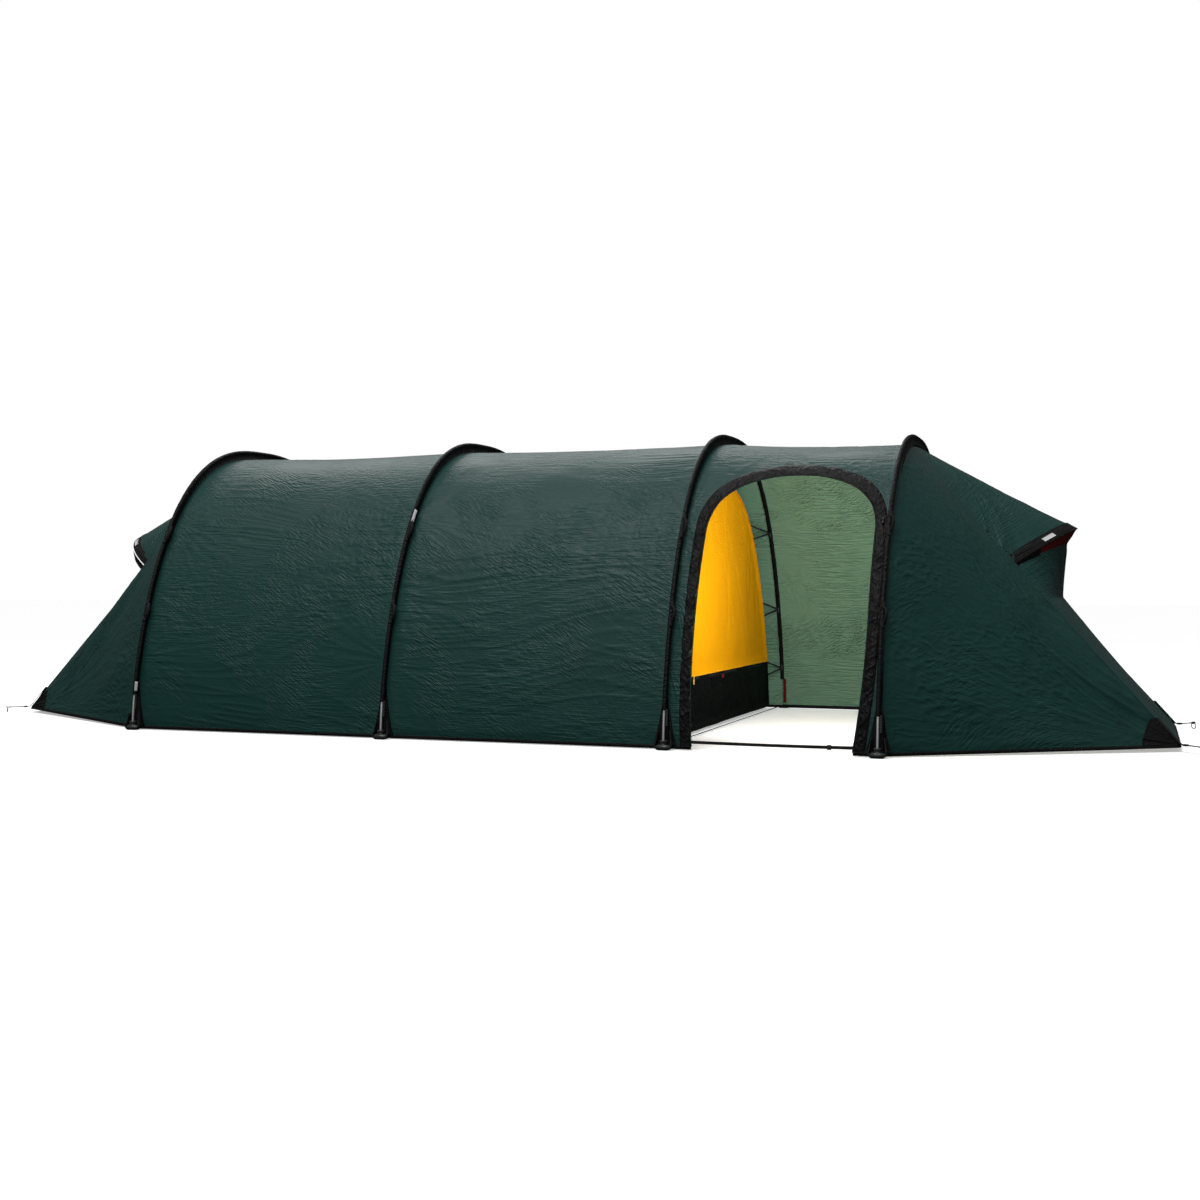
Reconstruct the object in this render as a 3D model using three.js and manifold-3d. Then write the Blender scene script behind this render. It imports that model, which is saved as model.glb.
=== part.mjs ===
// A tunnel tent on four bowed poles: three arched spans, a side door between hoops 3 and 4, a hooded vestibule at
// each end and a hung inner tent. Millimetres. +X runs along the tunnel to the vestibule next to the door, +Y away
// from the door side, +Z up. The origin is on the ground, midway between the outermost hoops.
import * as THREE from "three";
import { mergeVertices } from "three/addons/utils/BufferGeometryUtils.js";
import Module from "manifold-3d";

const wasm = await Module();
wasm.setup();

// Driving dimensions

const SLEEPING_SPAN = 1192; // hoop 1 to hoop 2, and hoop 2 to hoop 3
const DOOR_SPAN = 804; // hoop 3 to hoop 4
const BASE = 15; // height of the hem and of the hoops' springing line over the ground
const GAP = 0.6; // clear distance between sewn or touching pieces
const SLEEVE_GAP = 1.5; // and between a sleeve or gusset and the faceted cloth under it
const FABRIC = 3; // thickness of every cloth solid

// Every arch is a superellipse: |y / halfWidth| ^ side + (z / height) ^ top = 1, above BASE.
const HOOP = { halfWidth: 1030, height: 1250, side: 2.73, top: 1.56 };
const END_HOOP_HEIGHT = 1225; // hoop 4 stands a little lower
const INSET = { side: 22, top: 35 }; // the cloth hangs this far inside the poles
const RIDGE_SAG = 10; // extra inset halfway between two hoops
const ARCH_STEPS = 32;

const POLE = { radius: 5, sides: 6, end: 9 };
const SLEEVE = { bore: 6.5, radius: 8.5, fin: 4, end: 150 };
const GUSSET = { foot: 90, head: 10, top: 205, bottom: 22, thickness: 2.5 };
const CUP = { radius: 15, foot: 12, bore: 7, floor: 8.5, bottom: 3, top: 38 };
const SLING = { width: 22, thickness: 2.5, spread: 40, top: 70 };

const FRONT = {
  sign: 1,
  corner: { reach: 1028, halfWidth: 440, z: 26 },
  rimEnd: { reach: 421, halfWidth: 340, z: 705 },
  tip: { reach: 645, z: 850 },
  brimPower: 1.15, // how sharply the brim comes to its tip, seen from above
  brimRise: 1.3, // and seen from the end
};
const REAR = {
  sign: -1,
  corner: { reach: 1028, halfWidth: 440, z: 26 },
  rimEnd: { reach: 426, halfWidth: 350, z: 708 },
  tip: { reach: 695, z: 860 },
  brimPower: 2,
  brimRise: 1.6,
};
const BRIM_FROM = 14 / ARCH_STEPS; // where along the hoop's arch the brim's tension line starts
const RIM = { width: 42, thickness: 4, lift: 4 };
// The end wall leans back from the corners to a fold, and stands nearly upright from there to the hood.
const END_WALL = { foldZ: 571, foldBow: 46, topReach: 606, topZ: 792, edge: 5 };
const END_STEPS = 14;

const STRAP = { width: 12, thickness: 2, rise: 95, reach: 75, splay: 75, z: 28 };
const EYE = { radius: 6, bore: 4, width: 10 };
const RING = { radius: 12, wire: 1.8 };
const BUCKLE = { length: 14, width: 19, height: 8, slotWidth: 14, slotHeight: 4, from: 16 };

// The opening: its foot is drawn in on each side, more so next to hoop 4.
const DOOR = { offset: 18, halfWidth: 331, springing: 860, rise: 318 };
const DOOR_PINCH = { rear: 14, front: 42, below: 500 };
const BAND = { side: 42, top: 70, thickness: 5, lift: 2.2 };
const SILL = { z: 32, inset: 4, buckle: 205 };
const TOGGLE = { radius: 5, length: 34, x: 357, z: 866 };
const ZIP_SLIDER = { length: 18, width: 9, thickness: 6, pull: 22 };

const INNER = { halfWidth: 920, height: 1060, side: 2.73, top: 1.45, gap: 50 };
const TUB = { floor: 17, height: 240 };
const INNER_ZIP = { y: -450, z: TUB.height };
const TIE = { radius: 2, spread: 32, levels: [190, 486, 858] };
const GROUND_CORD = { radius: 2, z: 9, back: 20 };

const HALF = (2 * SLEEPING_SPAN + DOOR_SPAN) / 2;
const HOOPS = [
  { x: -HALF, height: HOOP.height },
  { x: -HALF + SLEEPING_SPAN, height: HOOP.height },
  { x: -HALF + 2 * SLEEPING_SPAN, height: HOOP.height },
  { x: HALF, height: END_HOOP_HEIGHT },
];
const SIDES = [
  ["near", -1],
  ["far", 1],
];

// Solids and sweeps

const vec = (x, y, z) => new THREE.Vector3(x, y, z);
const mix = (a, b, k) => a + (b - a) * k;
const mixed = (a, b, k) => new THREE.Vector3().lerpVectors(a, b, k);

// A closed mesh from points and triangles, turned inside out if its faces point inwards.
function closedGeometry(points, faces) {
  let volume = 0;
  for (const [a, b, c] of faces) {
    volume += points[a].dot(vec(0, 0, 0).crossVectors(points[b], points[c]));
  }
  const index = faces.flatMap(([a, b, c]) => (volume < 0 ? [a, c, b] : [a, b, c]));
  const geometry = new THREE.BufferGeometry().setFromPoints(points);
  return geometry.setIndex(index);
}

// A thin sheet over a grid of points: point(i, j) is on its middle surface and across(i, j) is the direction
// of its thickness, of length one. The sheet lies from low to high along that direction.
function sheet(rows, columns, point, across, low = -FABRIC / 2, high = FABRIC / 2) {
  const points = [];
  for (const depth of [low, high]) {
    for (let i = 0; i <= rows; i++) {
      for (let j = 0; j <= columns; j++) {
        points.push(point(i, j).addScaledVector(across(i, j), depth));
      }
    }
  }
  const layer = (rows + 1) * (columns + 1);
  const at = (i, j, top) => i * (columns + 1) + j + (top ? layer : 0);
  const faces = [];
  const quad = (a, b, c, d) => faces.push([a, b, c], [a, c, d]);
  for (let i = 0; i < rows; i++) {
    for (let j = 0; j < columns; j++) {
      quad(at(i, j, 1), at(i + 1, j, 1), at(i + 1, j + 1, 1), at(i, j + 1, 1));
      quad(at(i, j, 0), at(i, j + 1, 0), at(i + 1, j + 1, 0), at(i + 1, j, 0));
    }
    quad(at(i, 0, 0), at(i + 1, 0, 0), at(i + 1, 0, 1), at(i, 0, 1));
    quad(at(i + 1, columns, 0), at(i, columns, 0), at(i, columns, 1), at(i + 1, columns, 1));
  }
  for (let j = 0; j < columns; j++) {
    quad(at(0, j + 1, 0), at(0, j, 0), at(0, j, 1), at(0, j + 1, 1));
    quad(at(rows, j, 0), at(rows, j + 1, 0), at(rows, j + 1, 1), at(rows, j, 1));
  }
  return closedGeometry(points, faces);
}

// A solid swept through stations { at, u, v }: section(i) lists its outline as [along u, along v], and hole(i),
// if there is one, lists the outline of a bore through it.
function sweep(stations, section, hole = () => []) {
  const points = [];
  const rings = stations.map((s, i) => {
    const ring = [...section(i), ...hole(i)];
    for (const [a, b] of ring) {
      points.push(s.at.clone().addScaledVector(s.u, a).addScaledVector(s.v, b));
    }
    return ring;
  });
  const outer = section(0).length;
  const size = rings[0].length;
  const faces = [];
  const wall = (from, count) => {
    for (let i = 0; i + 1 < stations.length; i++) {
      for (let k = 0; k < count; k++) {
        const a = i * size + from + k;
        const b = i * size + from + ((k + 1) % count);
        faces.push([a, b, b + size], [a, b + size, a + size]);
      }
    }
  };
  wall(0, outer);
  wall(outer, size - outer);
  for (const [ring, first, last] of [
    [rings[0], 0, false],
    [rings[rings.length - 1], (stations.length - 1) * size, true],
  ]) {
    const flat = ring.map(([a, b]) => new THREE.Vector2(a, b));
    const turned = last === THREE.ShapeUtils.isClockWise(flat.slice(0, outer));
    const holes = size > outer ? [flat.slice(outer)] : [];
    for (const [a, b, c] of THREE.ShapeUtils.triangulateShape(flat.slice(0, outer), holes)) {
      faces.push(turned ? [first + a, first + c, first + b] : [first + a, first + b, first + c]);
    }
  }
  return closedGeometry(points, faces);
}

const polygon = (sides, radius, turn = 1) =>
  Array.from({ length: sides }, (_, k) => {
    const angle = (turn * 2 * Math.PI * k) / sides;
    return [radius * Math.cos(angle), radius * Math.sin(angle)];
  });
const rectangle = (width, height) => [
  [-width / 2, -height / 2],
  [width / 2, -height / 2],
  [width / 2, height / 2],
  [-width / 2, height / 2],
];

// Stations along a list of points, with v held as close as it can be to the given direction.
function along(points, v) {
  return points.map((at, i) => {
    const before = points[Math.max(i - 1, 0)];
    const after = points[Math.min(i + 1, points.length - 1)];
    const way = after.clone().sub(before).normalize();
    const u = vec(0, 0, 0).crossVectors(way, v).normalize();
    return { at, u, v: vec(0, 0, 0).crossVectors(u, way).normalize() };
  });
}
const cord = (points, radius, sides = 6) =>
  sweep(along(points, vec(0.1, 0.2, 1).normalize()), () => polygon(sides, radius));

function solid(geometry) {
  const bare = geometry.index ? geometry.toNonIndexed() : geometry.clone();
  for (const name of Object.keys(bare.attributes)) {
    if (name !== "position") bare.deleteAttribute(name);
  }
  const merged = mergeVertices(bare, 1e-3);
  return new wasm.Manifold(
    new wasm.Mesh({
      numProp: 3,
      vertProperties: merged.attributes.position.array,
      triVerts: new Uint32Array(merged.index.array),
    }),
  );
}

function geometryOf(manifold) {
  const mesh = manifold.getMesh();
  const geometry = new THREE.BufferGeometry();
  geometry.setAttribute("position", new THREE.BufferAttribute(mesh.vertProperties.slice(), 3));
  return geometry.setIndex(new THREE.BufferAttribute(mesh.triVerts.slice(), 1));
}

const joined = (...geometries) =>
  geometryOf(geometries.map(solid).reduce((whole, piece) => whole.add(piece)));
const cut = (geometry, ...tools) =>
  geometryOf(tools.map(solid).reduce((whole, tool) => whole.subtract(tool), solid(geometry)));
const common = (a, b) => geometryOf(solid(a).intersect(solid(b)));

// Arches

// An arch as a polyline of equal steps, so that the facets of poles, sleeves and cloth lie over one another. It is a
// function of the share of its length, from 0 at the near foot to 1 at the far foot.
function arch({ halfWidth, height, side, top }) {
  const samples = 720;
  const curve = [];
  const length = [0];
  for (let i = 0; i <= samples; i++) {
    const angle = (Math.PI * i) / samples;
    const c = Math.cos(angle);
    const s = Math.max(Math.sin(angle), 0);
    const y = -halfWidth * Math.sign(c) * Math.abs(c) ** (2 / side);
    curve.push(vec(0, y, BASE + height * s ** (2 / top)));
    if (i) length.push(length[i - 1] + curve[i].distanceTo(curve[i - 1]));
  }
  const corners = Array.from({ length: ARCH_STEPS + 1 }, (_, step) => {
    const wanted = (length[samples] * step) / ARCH_STEPS;
    const i = Math.max(length.findIndex((l) => l >= wanted - 1e-6), 1);
    return mixed(curve[i - 1], curve[i], (wanted - length[i - 1]) / (length[i] - length[i - 1]));
  });
  const at = (share) => {
    const place = Math.min(Math.max(share, 0), 1) * ARCH_STEPS;
    const i = Math.min(Math.floor(place), ARCH_STEPS - 1);
    return mixed(corners[i], corners[i + 1], place - i);
  };
  return {
    at,
    length: length[samples],
    // Outward normal, in the arch's plane.
    normal: (share) => {
      const way = at(share + 0.004).sub(at(share - 0.004));
      return vec(0, -way.z, way.y).normalize();
    },
    // Share of the length at which the near side reaches a height.
    atHeight: (z) => {
      const i = Math.max(corners.findIndex((p) => p.z >= z), 1);
      return (i - 1 + (z - corners[i - 1].z) / (corners[i].z - corners[i - 1].z)) / ARCH_STEPS;
    },
  };
}

const poleArch = (hoop) => arch({ ...HOOP, height: hoop.height });
const clothArch = (hoop, sag = 0) =>
  arch({
    ...HOOP,
    halfWidth: HOOP.halfWidth - INSET.side - sag * 0.4,
    height: hoop.height - INSET.top - sag,
  });
const INNER_ARCH = arch(INNER);

// A span of flysheet between two hoops, from a share of its length to another.
function spanPoint(from, to, k, share) {
  const sag = RIDGE_SAG * 4 * k * (1 - k);
  const hoop = { height: mix(from.height, to.height, k) };
  const section = clothArch(hoop, sag);
  return { at: section.at(share).setX(mix(from.x, to.x, k)), out: section.normal(share) };
}

const SPAN_STEPS = 2;
function spanSheet(from, to, low, high) {
  const grid = [];
  for (let j = 0; j <= SPAN_STEPS; j++) {
    const k = mix(GAP / 2 / (to.x - from.x), 1 - GAP / 2 / (to.x - from.x), j / SPAN_STEPS);
    const column = [];
    for (let i = 0; i <= ARCH_STEPS; i++) column.push(spanPoint(from, to, k, i / ARCH_STEPS));
    grid.push(column);
  }
  return sheet(
    ARCH_STEPS,
    SPAN_STEPS,
    (i, j) => grid[j][i].at.clone(),
    (i, j) => grid[j][i].out,
    low,
    high,
  );
}

// Hoops: pole, sleeve with its gussets, cups and slings

function hoopPole(hoop) {
  const line = poleArch(hoop);
  const stations = [];
  for (let i = 0; i <= ARCH_STEPS; i++) {
    const share = i / ARCH_STEPS;
    stations.push({ at: line.at(share).setX(hoop.x), u: line.normal(share), v: vec(1, 0, 0) });
  }
  // Each end runs straight down into its cup.
  const near = { ...stations[0], at: stations[0].at.clone().setZ(POLE.end) };
  const far = { ...stations[ARCH_STEPS], at: stations[ARCH_STEPS].at.clone().setZ(POLE.end) };
  return sweep([near, ...stations, far], () => polygon(POLE.sides, POLE.radius));
}

function sleeve(hoop) {
  const line = poleArch(hoop);
  const cloth = clothArch(hoop);
  const from = line.atHeight(SLEEVE.end);
  const stations = [];
  const depth = [];
  for (let i = 0; i <= ARCH_STEPS; i++) {
    // The ends are level cuts; between them the stations are those of the pole.
    const share = Math.min(Math.max(i / ARCH_STEPS, from), 1 - from);
    if (stations.length && share === stations[stations.length - 1].share) continue;
    const out = line.normal(share);
    const at = line.at(share).setX(hoop.x);
    stations.push({ at, u: out, v: vec(1, 0, 0), share });
    depth.push(at.clone().setX(0).sub(cloth.at(share)).dot(out) - FABRIC / 2 - SLEEVE_GAP);
  }
  const tube = [-120, -60, 0, 60, 120].map((degrees) => {
    const angle = (degrees * Math.PI) / 180;
    return [SLEEVE.radius * Math.cos(angle), SLEEVE.radius * Math.sin(angle)];
  });
  const neck = -Math.sqrt(SLEEVE.radius ** 2 - (SLEEVE.fin / 2) ** 2);
  const half = SLEEVE.fin / 2;
  const body = sweep(
    stations,
    (i) => [[-depth[i], -half], [neck, -half], ...tube, [neck, half], [-depth[i], half]],
    () => polygon(POLE.sides, SLEEVE.bore, -1),
  );
  return joined(body, ...SIDES.map(([, side]) => gusset(hoop, side)));
}

// The reinforcement below the sleeve: a tapered panel on the cloth, widening to the foot.
function gusset(hoop, side) {
  const cloth = clothArch(hoop);
  const foot = cloth.atHeight(GUSSET.bottom);
  const head = cloth.atHeight(GUSSET.top);
  const steps = 6;
  const share = (i) => mix(foot, head, i / steps);
  const point = (i, j) => {
    const at = cloth.at(share(i));
    const width = mix(GUSSET.foot, GUSSET.head, (i / steps) ** 0.8);
    return vec(hoop.x + (j - 1) * (width / 2), -side * at.y, at.z);
  };
  const out = (i) => {
    const normal = cloth.normal(share(i));
    return vec(0, -side * normal.y, normal.z);
  };
  const low = FABRIC / 2 + SLEEVE_GAP;
  return sheet(steps, 2, point, out, low, low + GUSSET.thickness);
}

function cup(hoop, side) {
  const profile = [
    [0, CUP.bottom],
    [CUP.foot, CUP.bottom],
    [CUP.radius, CUP.bottom + 8],
    [CUP.radius - 1, CUP.top],
    [CUP.bore, CUP.top],
    [CUP.bore, CUP.floor],
    [0, CUP.floor],
  ].map(([r, z]) => new THREE.Vector2(r, z));
  const geometry = new THREE.LatheGeometry(profile, 12).rotateX(Math.PI / 2);
  return geometry.translate(hoop.x, side * HOOP.halfWidth, 0);
}

// The webbing sling that carries the cup: it passes flat under it and rises to the gusset on both sides.
function sling(hoop, side) {
  const { spread, top, thickness, width } = SLING;
  const path = [
    [-spread, top],
    [-spread + 5, 34],
    [-spread + 15, 11],
    [-14, thickness / 2],
    [14, thickness / 2],
    [spread - 15, 11],
    [spread - 5, 34],
    [spread, top],
  ].map(([x, z]) => vec(hoop.x + x, side * HOOP.halfWidth, z));
  const stations = path.map((at, i) => {
    const before = path[Math.max(i - 1, 0)];
    const after = path[Math.min(i + 1, path.length - 1)];
    const flat = i === 3 || i === 4;
    const way = flat ? vec(1, 0, 0) : after.clone().sub(before).normalize();
    return { at, u: vec(-way.z, 0, way.x), v: vec(0, 1, 0) };
  });
  return sweep(stations, () => rectangle(thickness, width));
}

// Vestibules

// The vestibule's free edge: from the near corner up the crease to the brim's end, along the brim over its tip,
// and down to the far corner, as a share from 0 to 1.
function freeEdge(end, hoop, share) {
  const side = share < 0.5 ? -1 : 1;
  const climb = Math.min(share, 1 - share);
  const { corner, rimEnd, tip } = end;
  const place = (reach, y, z) => vec(hoop.x + end.sign * reach, side * y, z);
  if (climb <= BRIM_FROM) {
    const k = climb / BRIM_FROM;
    return place(
      mix(corner.reach, rimEnd.reach, k),
      mix(corner.halfWidth, rimEnd.halfWidth, k),
      mix(corner.z, rimEnd.z, k),
    );
  }
  const away = 1 - (climb - BRIM_FROM) / (0.5 - BRIM_FROM);
  return place(
    mix(tip.reach, rimEnd.reach, away ** end.brimPower),
    rimEnd.halfWidth * away,
    mix(tip.z, rimEnd.z, away ** end.brimRise),
  );
}

// Shares of the arch at which the vestibule is sampled: even ones, with more of them along the brim.
const BRIM_STEPS = 8;
const BRIM_SHARES = Array.from({ length: BRIM_STEPS + 1 }, (_, i) =>
  mix(BRIM_FROM, 1 - BRIM_FROM, i / BRIM_STEPS),
);
const VESTIBULE_SHARES = [
  ...Array.from({ length: END_STEPS }, (_, i) => (BRIM_FROM * i) / END_STEPS),
  ...BRIM_SHARES,
  ...Array.from({ length: END_STEPS }, (_, i) => 1 - BRIM_FROM * (1 - (i + 1) / END_STEPS)),
];

// A point of the side and roof cloth: k runs from 0 at the hoop to 1 at the free edge.
function vestibulePoint(end, hoop, share, k) {
  const start = clothArch(hoop).at(share).setX(hoop.x + end.sign * (GAP / 2));
  return mixed(start, freeEdge(end, hoop, share), k);
}
function vestibuleOut(end, hoop, share, k) {
  const step = 0.01;
  const way = vestibulePoint(end, hoop, Math.min(share + step, 1), k).sub(
    vestibulePoint(end, hoop, Math.max(share - step, 0), k),
  );
  return vec(0, -way.z, way.y).normalize();
}

function vestibuleCloth(end, hoop) {
  const columns = 3;
  return sheet(
    VESTIBULE_SHARES.length - 1,
    columns,
    (i, j) => vestibulePoint(end, hoop, VESTIBULE_SHARES[i], j / columns),
    (i, j) => vestibuleOut(end, hoop, VESTIBULE_SHARES[i], j / columns),
  );
}

// The stiffened binding along the brim, on top of the roof cloth.
function hoodRim(end, hoop) {
  const low = FABRIC / 2 + RIM.lift;
  const place = (i, j) => {
    const share = BRIM_SHARES[i];
    const length = vestibulePoint(end, hoop, share, 0).distanceTo(freeEdge(end, hoop, share));
    return [end, hoop, share, j ? 1 : 1 - RIM.width / length];
  };
  return sheet(
    BRIM_STEPS,
    1,
    (i, j) => vestibulePoint(...place(i, j)),
    (i, j) => vestibuleOut(...place(i, j)),
    low,
    low + RIM.thickness,
  );
}

// A point of the end wall: rise runs from 0 at the ground to 1 under the hood, across from -1 to 1.
function endWallPoint(end, hoop, rise, across) {
  const { corner, rimEnd } = end;
  const foldRise = (END_WALL.foldZ - corner.z) / (rimEnd.z - corner.z);
  const edge = {
    reach: mix(corner.reach, rimEnd.reach, rise),
    y: mix(corner.halfWidth, rimEnd.halfWidth, rise),
    z: mix(corner.z, rimEnd.z, rise),
  };
  const above = Math.max(0, (rise - foldRise) / (1 - foldRise));
  const foldReach = mix(corner.reach, rimEnd.reach, foldRise) + END_WALL.foldBow;
  const middle = {
    reach: above
      ? mix(foldReach, END_WALL.topReach, above ** 1.6)
      : mix(corner.reach, foldReach, rise / foldRise),
    z: above ? mix(END_WALL.foldZ, END_WALL.topZ, above) : edge.z,
  };
  const bow = 1 - Math.abs(across) ** mix(2, 1.5, above);
  return vec(
    hoop.x + end.sign * (mix(edge.reach, middle.reach, bow) - END_WALL.edge * (1 - bow)),
    across * (edge.y - END_WALL.edge),
    mix(edge.z, middle.z, bow),
  );
}

function endWall(end, hoop) {
  const rows = 8;
  const columns = 10;
  return sheet(
    rows,
    columns,
    (i, j) => endWallPoint(end, hoop, i / rows, (2 * j) / columns - 1),
    () => vec(end.sign, 0, 0),
  );
}

// The dark vent cloth that closes the hood, from the top of the end wall out to the brim.
function ventCloth(end, hoop) {
  const columns = 8;
  const rows = 2;
  const halfSpan = 0.55;
  const point = (i, j) => {
    const across = halfSpan * ((2 * j) / columns - 1);
    const low = endWallPoint(end, hoop, 1, across).add(vec(0, 0, GAP));
    const away = 0.5 - BRIM_FROM;
    const brim = freeEdge(end, hoop, 0.5 + across * away).add(vec(-end.sign * 12, 0, -9));
    return mixed(low, brim, i / rows);
  };
  return sheet(rows, columns, point, () => vec(end.sign, 0, 0));
}

// The corner's webbing: down the crease, round the corner and out to an eye for the stake ring.
function cornerPlaces(end, hoop, side) {
  const { reach, halfWidth, z } = end.corner;
  const corner = vec(hoop.x + end.sign * (reach + 4), side * (halfWidth + 4), z + 2);
  const eye = vec(corner.x + end.sign * STRAP.reach, corner.y + side * STRAP.splay, STRAP.z);
  const out = eye.clone().sub(corner).setZ(0).normalize();
  return { corner, eye, out, across: vec(-out.y, out.x, 0) };
}

function cornerStrap(end, hoop, side) {
  const { corner, eye, out, across } = cornerPlaces(end, hoop, side);
  const k = STRAP.rise / (end.rimEnd.z - end.corner.z);
  const top = vec(
    hoop.x + end.sign * (mix(end.corner.reach, end.rimEnd.reach, k) + 5),
    side * (mix(end.corner.halfWidth, end.rimEnd.halfWidth, k) + 6),
    mix(end.corner.z, end.rimEnd.z, k) + 5,
  );
  const start = corner.clone().addScaledVector(out, 3);
  const stop = eye.clone().addScaledVector(out, -(EYE.radius + EYE.bore) / 2);
  const way = start.clone().sub(top).normalize();
  const u = vec(0, 0, 0).crossVectors(way, across).normalize();
  const stations = [
    { at: top, u, v: across },
    { at: mixed(top, start, 0.9), u, v: across },
    { at: start.clone().addScaledVector(out, 6), u: vec(0, 0, 1), v: across },
    { at: stop, u: vec(0, 0, 1), v: across },
  ].map((s) => ({ ...s, u: s.u.z < 0 ? s.u.clone().negate() : s.u }));
  const strap = sweep(stations, () => rectangle(STRAP.thickness, STRAP.width));
  const barrel = [
    { at: eye.clone().addScaledVector(across, -EYE.width / 2), u: out, v: vec(0, 0, 1) },
    { at: eye.clone().addScaledVector(across, EYE.width / 2), u: out, v: vec(0, 0, 1) },
  ];
  const eyelet = sweep(
    barrel,
    () => polygon(12, EYE.radius),
    () => polygon(12, EYE.bore, -1),
  );
  return joined(strap, eyelet);
}

// The steel ring hangs in the eye, its plane square to the strap.
function stakeRing(end, hoop, side) {
  const { eye, out } = cornerPlaces(end, hoop, side);
  const ring = new THREE.TorusGeometry(RING.radius, RING.wire, 6, 18);
  ring.rotateY(Math.PI / 2).rotateZ(Math.atan2(out.y, out.x));
  return ring.translate(eye.x, eye.y, eye.z - RING.radius);
}

// A tri-glide round the strap, which slides along it to set its length.
function strapBuckle(end, hoop, side) {
  const { corner, out, across } = cornerPlaces(end, hoop, side);
  const middle = corner.clone().addScaledVector(out, BUCKLE.from + BUCKLE.length / 2);
  middle.z = mix(corner.z, STRAP.z, (BUCKLE.from + BUCKLE.length / 2) / (STRAP.reach * 1.4));
  return tubeBox(middle, out, across);
}

function tubeBox(middle, way, across) {
  const up = vec(0, 0, 0).crossVectors(way, across).normalize();
  const stations = [-0.5, 0.5].map((k) => ({
    at: middle.clone().addScaledVector(way, k * BUCKLE.length),
    u: across,
    v: up,
  }));
  return sweep(
    stations,
    () => rectangle(BUCKLE.width, BUCKLE.height),
    () => rectangle(BUCKLE.slotWidth, BUCKLE.slotHeight).reverse(),
  );
}

// Side door

const DOOR_X = HOOPS[2].x + DOOR_SPAN / 2 + DOOR.offset;

// The door's edge on the near wall, grown outwards by a band: the outline in X and Z, up one side, over and down.
function doorOutline(side, over) {
  const cloth = clothArch(HOOPS[2], RIDGE_SAG);
  const height = (length) => cloth.at(length / cloth.length).z;
  const halfWidth = DOOR.halfWidth + side;
  const rise = DOOR.rise + over;
  const edge = (sign, z) => {
    const pinch = (sign > 0 ? DOOR_PINCH.front : DOOR_PINCH.rear) * (1 - z / DOOR_PINCH.below) ** 2;
    return [DOOR_X + sign * (halfWidth - pinch), z];
  };
  const foot = [-20, 60, 140, 240, 360];
  const steps = 20;
  const top = [];
  for (let i = 0; i <= steps; i++) {
    const angle = (Math.PI * i) / steps;
    const up = height(DOOR.springing + rise * Math.sin(angle) ** 0.9);
    top.push([DOOR_X + halfWidth * Math.cos(angle), up]);
  }
  const front = foot.map((z) => edge(1, z));
  return [...front, ...top, ...foot.map((z) => edge(-1, z)).reverse()];
}

// A block through the near wall, with the door's outline.
function doorBlock(side, top) {
  const stations = [-1200, -300].map((y) => ({
    at: vec(0, y, 0),
    u: vec(1, 0, 0),
    v: vec(0, 0, 1),
  }));
  return sweep(stations, () => doorOutline(side, top));
}

const doorSpan = () => cut(spanSheet(HOOPS[2], HOOPS[3]), doorBlock(0, 0));

// The gathered black band round the door, on the outer face of the wall.
function doorBand() {
  const low = BAND.lift;
  const wall = spanSheet(HOOPS[2], HOOPS[3], low, low + BAND.thickness);
  return cut(common(wall, doorBlock(BAND.side, BAND.top)), doorBlock(2, 2));
}

// The webbing across the sill, on edge, and the adjuster that slides along it.
const SILL_Y = -(HOOP.halfWidth - INSET.side);
function sillStrap() {
  const from = DOOR_X - DOOR.halfWidth + DOOR_PINCH.rear + SILL.inset;
  const to = DOOR_X + DOOR.halfWidth - DOOR_PINCH.front - SILL.inset;
  const points = [vec(from, SILL_Y, SILL.z), vec(to, SILL_Y, SILL.z)];
  return sweep(along(points, vec(0, 0, 1)), () => rectangle(STRAP.thickness, STRAP.width));
}
function sillAdjuster() {
  const middle = vec(DOOR_X + SILL.buckle, SILL_Y, SILL.z);
  return tubeBox(middle, vec(1, 0, 0), vec(0, 0, 1));
}

// The wall's outer face at a height on the near side, at a place along the door span.
function nearWall(x, z) {
  const k = (x - HOOPS[2].x) / DOOR_SPAN;
  const cloth = clothArch(HOOPS[2]);
  const { at, out } = spanPoint(HOOPS[2], HOOPS[3], k, cloth.atHeight(z));
  return { at, out };
}

// The barrel toggle that holds the rolled-back edge, upright on the band.
function doorToggle() {
  const { at, out } = nearWall(DOOR_X + TOGGLE.x, TOGGLE.z);
  const lift = BAND.lift + BAND.thickness + TOGGLE.radius + GAP;
  const middle = at.addScaledVector(out, lift);
  const way = vec(0, out.z, -out.y);
  const profile = [
    [0, 0],
    [0.8, 0],
    [1, 0.1],
    [0.75, 0.5],
    [1, 0.9],
    [0.8, 1],
    [0, 1],
  ].map(([r, k]) => new THREE.Vector2(r * TOGGLE.radius, (k - 0.5) * TOGGLE.length));
  const barrel = new THREE.LatheGeometry(profile, 10);
  const turn = new THREE.Quaternion().setFromUnitVectors(vec(0, 1, 0), way);
  return barrel.applyQuaternion(turn).translate(middle.x, middle.y, middle.z);
}

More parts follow.
